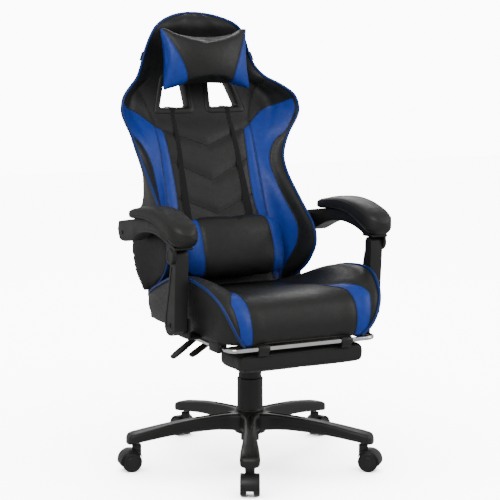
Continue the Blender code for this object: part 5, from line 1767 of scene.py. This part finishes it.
class CHAIR_OT_seat(bpy.types.Operator):
    """Seat upholstery with coloured bands and piping"""
    bl_idname = "chair.seat"
    bl_label = "Seat"

    def execute(self, context):
        make_seat(context.scene.chair_sizes)
        return {"FINISHED"}


class CHAIR_OT_armrests(bpy.types.Operator):
    """Arm pads, beams, posts and collars"""
    bl_idname = "chair.armrests"
    bl_label = "Armrests"

    def execute(self, context):
        sizes = context.scene.chair_sizes
        make_arm_pads(sizes)
        make_arm_frames(sizes)
        make_posts(sizes)
        make_arm_bosses(sizes)
        return {"FINISHED"}


class CHAIR_OT_base(bpy.types.Operator):
    """Five-star base and its twin-wheel casters"""
    bl_idname = "chair.base"
    bl_label = "Base and casters"

    def execute(self, context):
        make_base(context.scene.chair_sizes)
        make_casters(context.scene.chair_sizes)
        return {"FINISHED"}


class CHAIR_OT_mechanism(bpy.types.Operator):
    """Gas lift covers, tilt mechanism, knob and levers"""
    bl_idname = "chair.mechanism"
    bl_label = "Lift and mechanism"

    def execute(self, context):
        sizes = context.scene.chair_sizes
        make_column(sizes)
        make_mechanism(sizes)
        make_levers(sizes)
        return {"FINISHED"}


class CHAIR_OT_footrest(bpy.types.Operator):
    """Chrome rail and padded footrest"""
    bl_idname = "chair.footrest"
    bl_label = "Footrest"

    def execute(self, context):
        make_footrest(context.scene.chair_sizes)
        return {"FINISHED"}


OPERATORS = (CHAIR_OT_stage, CHAIR_OT_frame, CHAIR_OT_backrest, CHAIR_OT_pillows, CHAIR_OT_seat,
             CHAIR_OT_armrests, CHAIR_OT_base, CHAIR_OT_mechanism, CHAIR_OT_footrest)


class CHAIR_PT_panel(bpy.types.Panel):
    """Colours, sizes and pieces of the chair"""
    bl_idname = "CHAIR_PT_panel"
    bl_label = "Chair"
    bl_space_type = "VIEW_3D"
    bl_region_type = "UI"
    bl_category = "Chair"

    def draw(self, context):
        for group in (context.scene.chair_colours, context.scene.chair_sizes):
            box = self.layout.box()
            for key in group.__annotations__:
                box.prop(group, key)
        for operator in OPERATORS:
            self.layout.operator(operator.bl_idname)


CLASSES = (ChairColours, ChairSizes, *OPERATORS, CHAIR_PT_panel)


def register():
    for item in CLASSES:
        bpy.utils.register_class(item)
    bpy.types.Scene.chair_colours = PointerProperty(type=ChairColours)
    bpy.types.Scene.chair_sizes = PointerProperty(type=ChairSizes)


def unregister():
    del bpy.types.Scene.chair_sizes
    del bpy.types.Scene.chair_colours
    for item in reversed(CLASSES):
        bpy.utils.unregister_class(item)


def main():
    register()
    for operator in OPERATORS:
        group, call = operator.bl_idname.split(".")
        getattr(getattr(bpy.ops, group), call)()


if __name__ == "__main__":
    main()
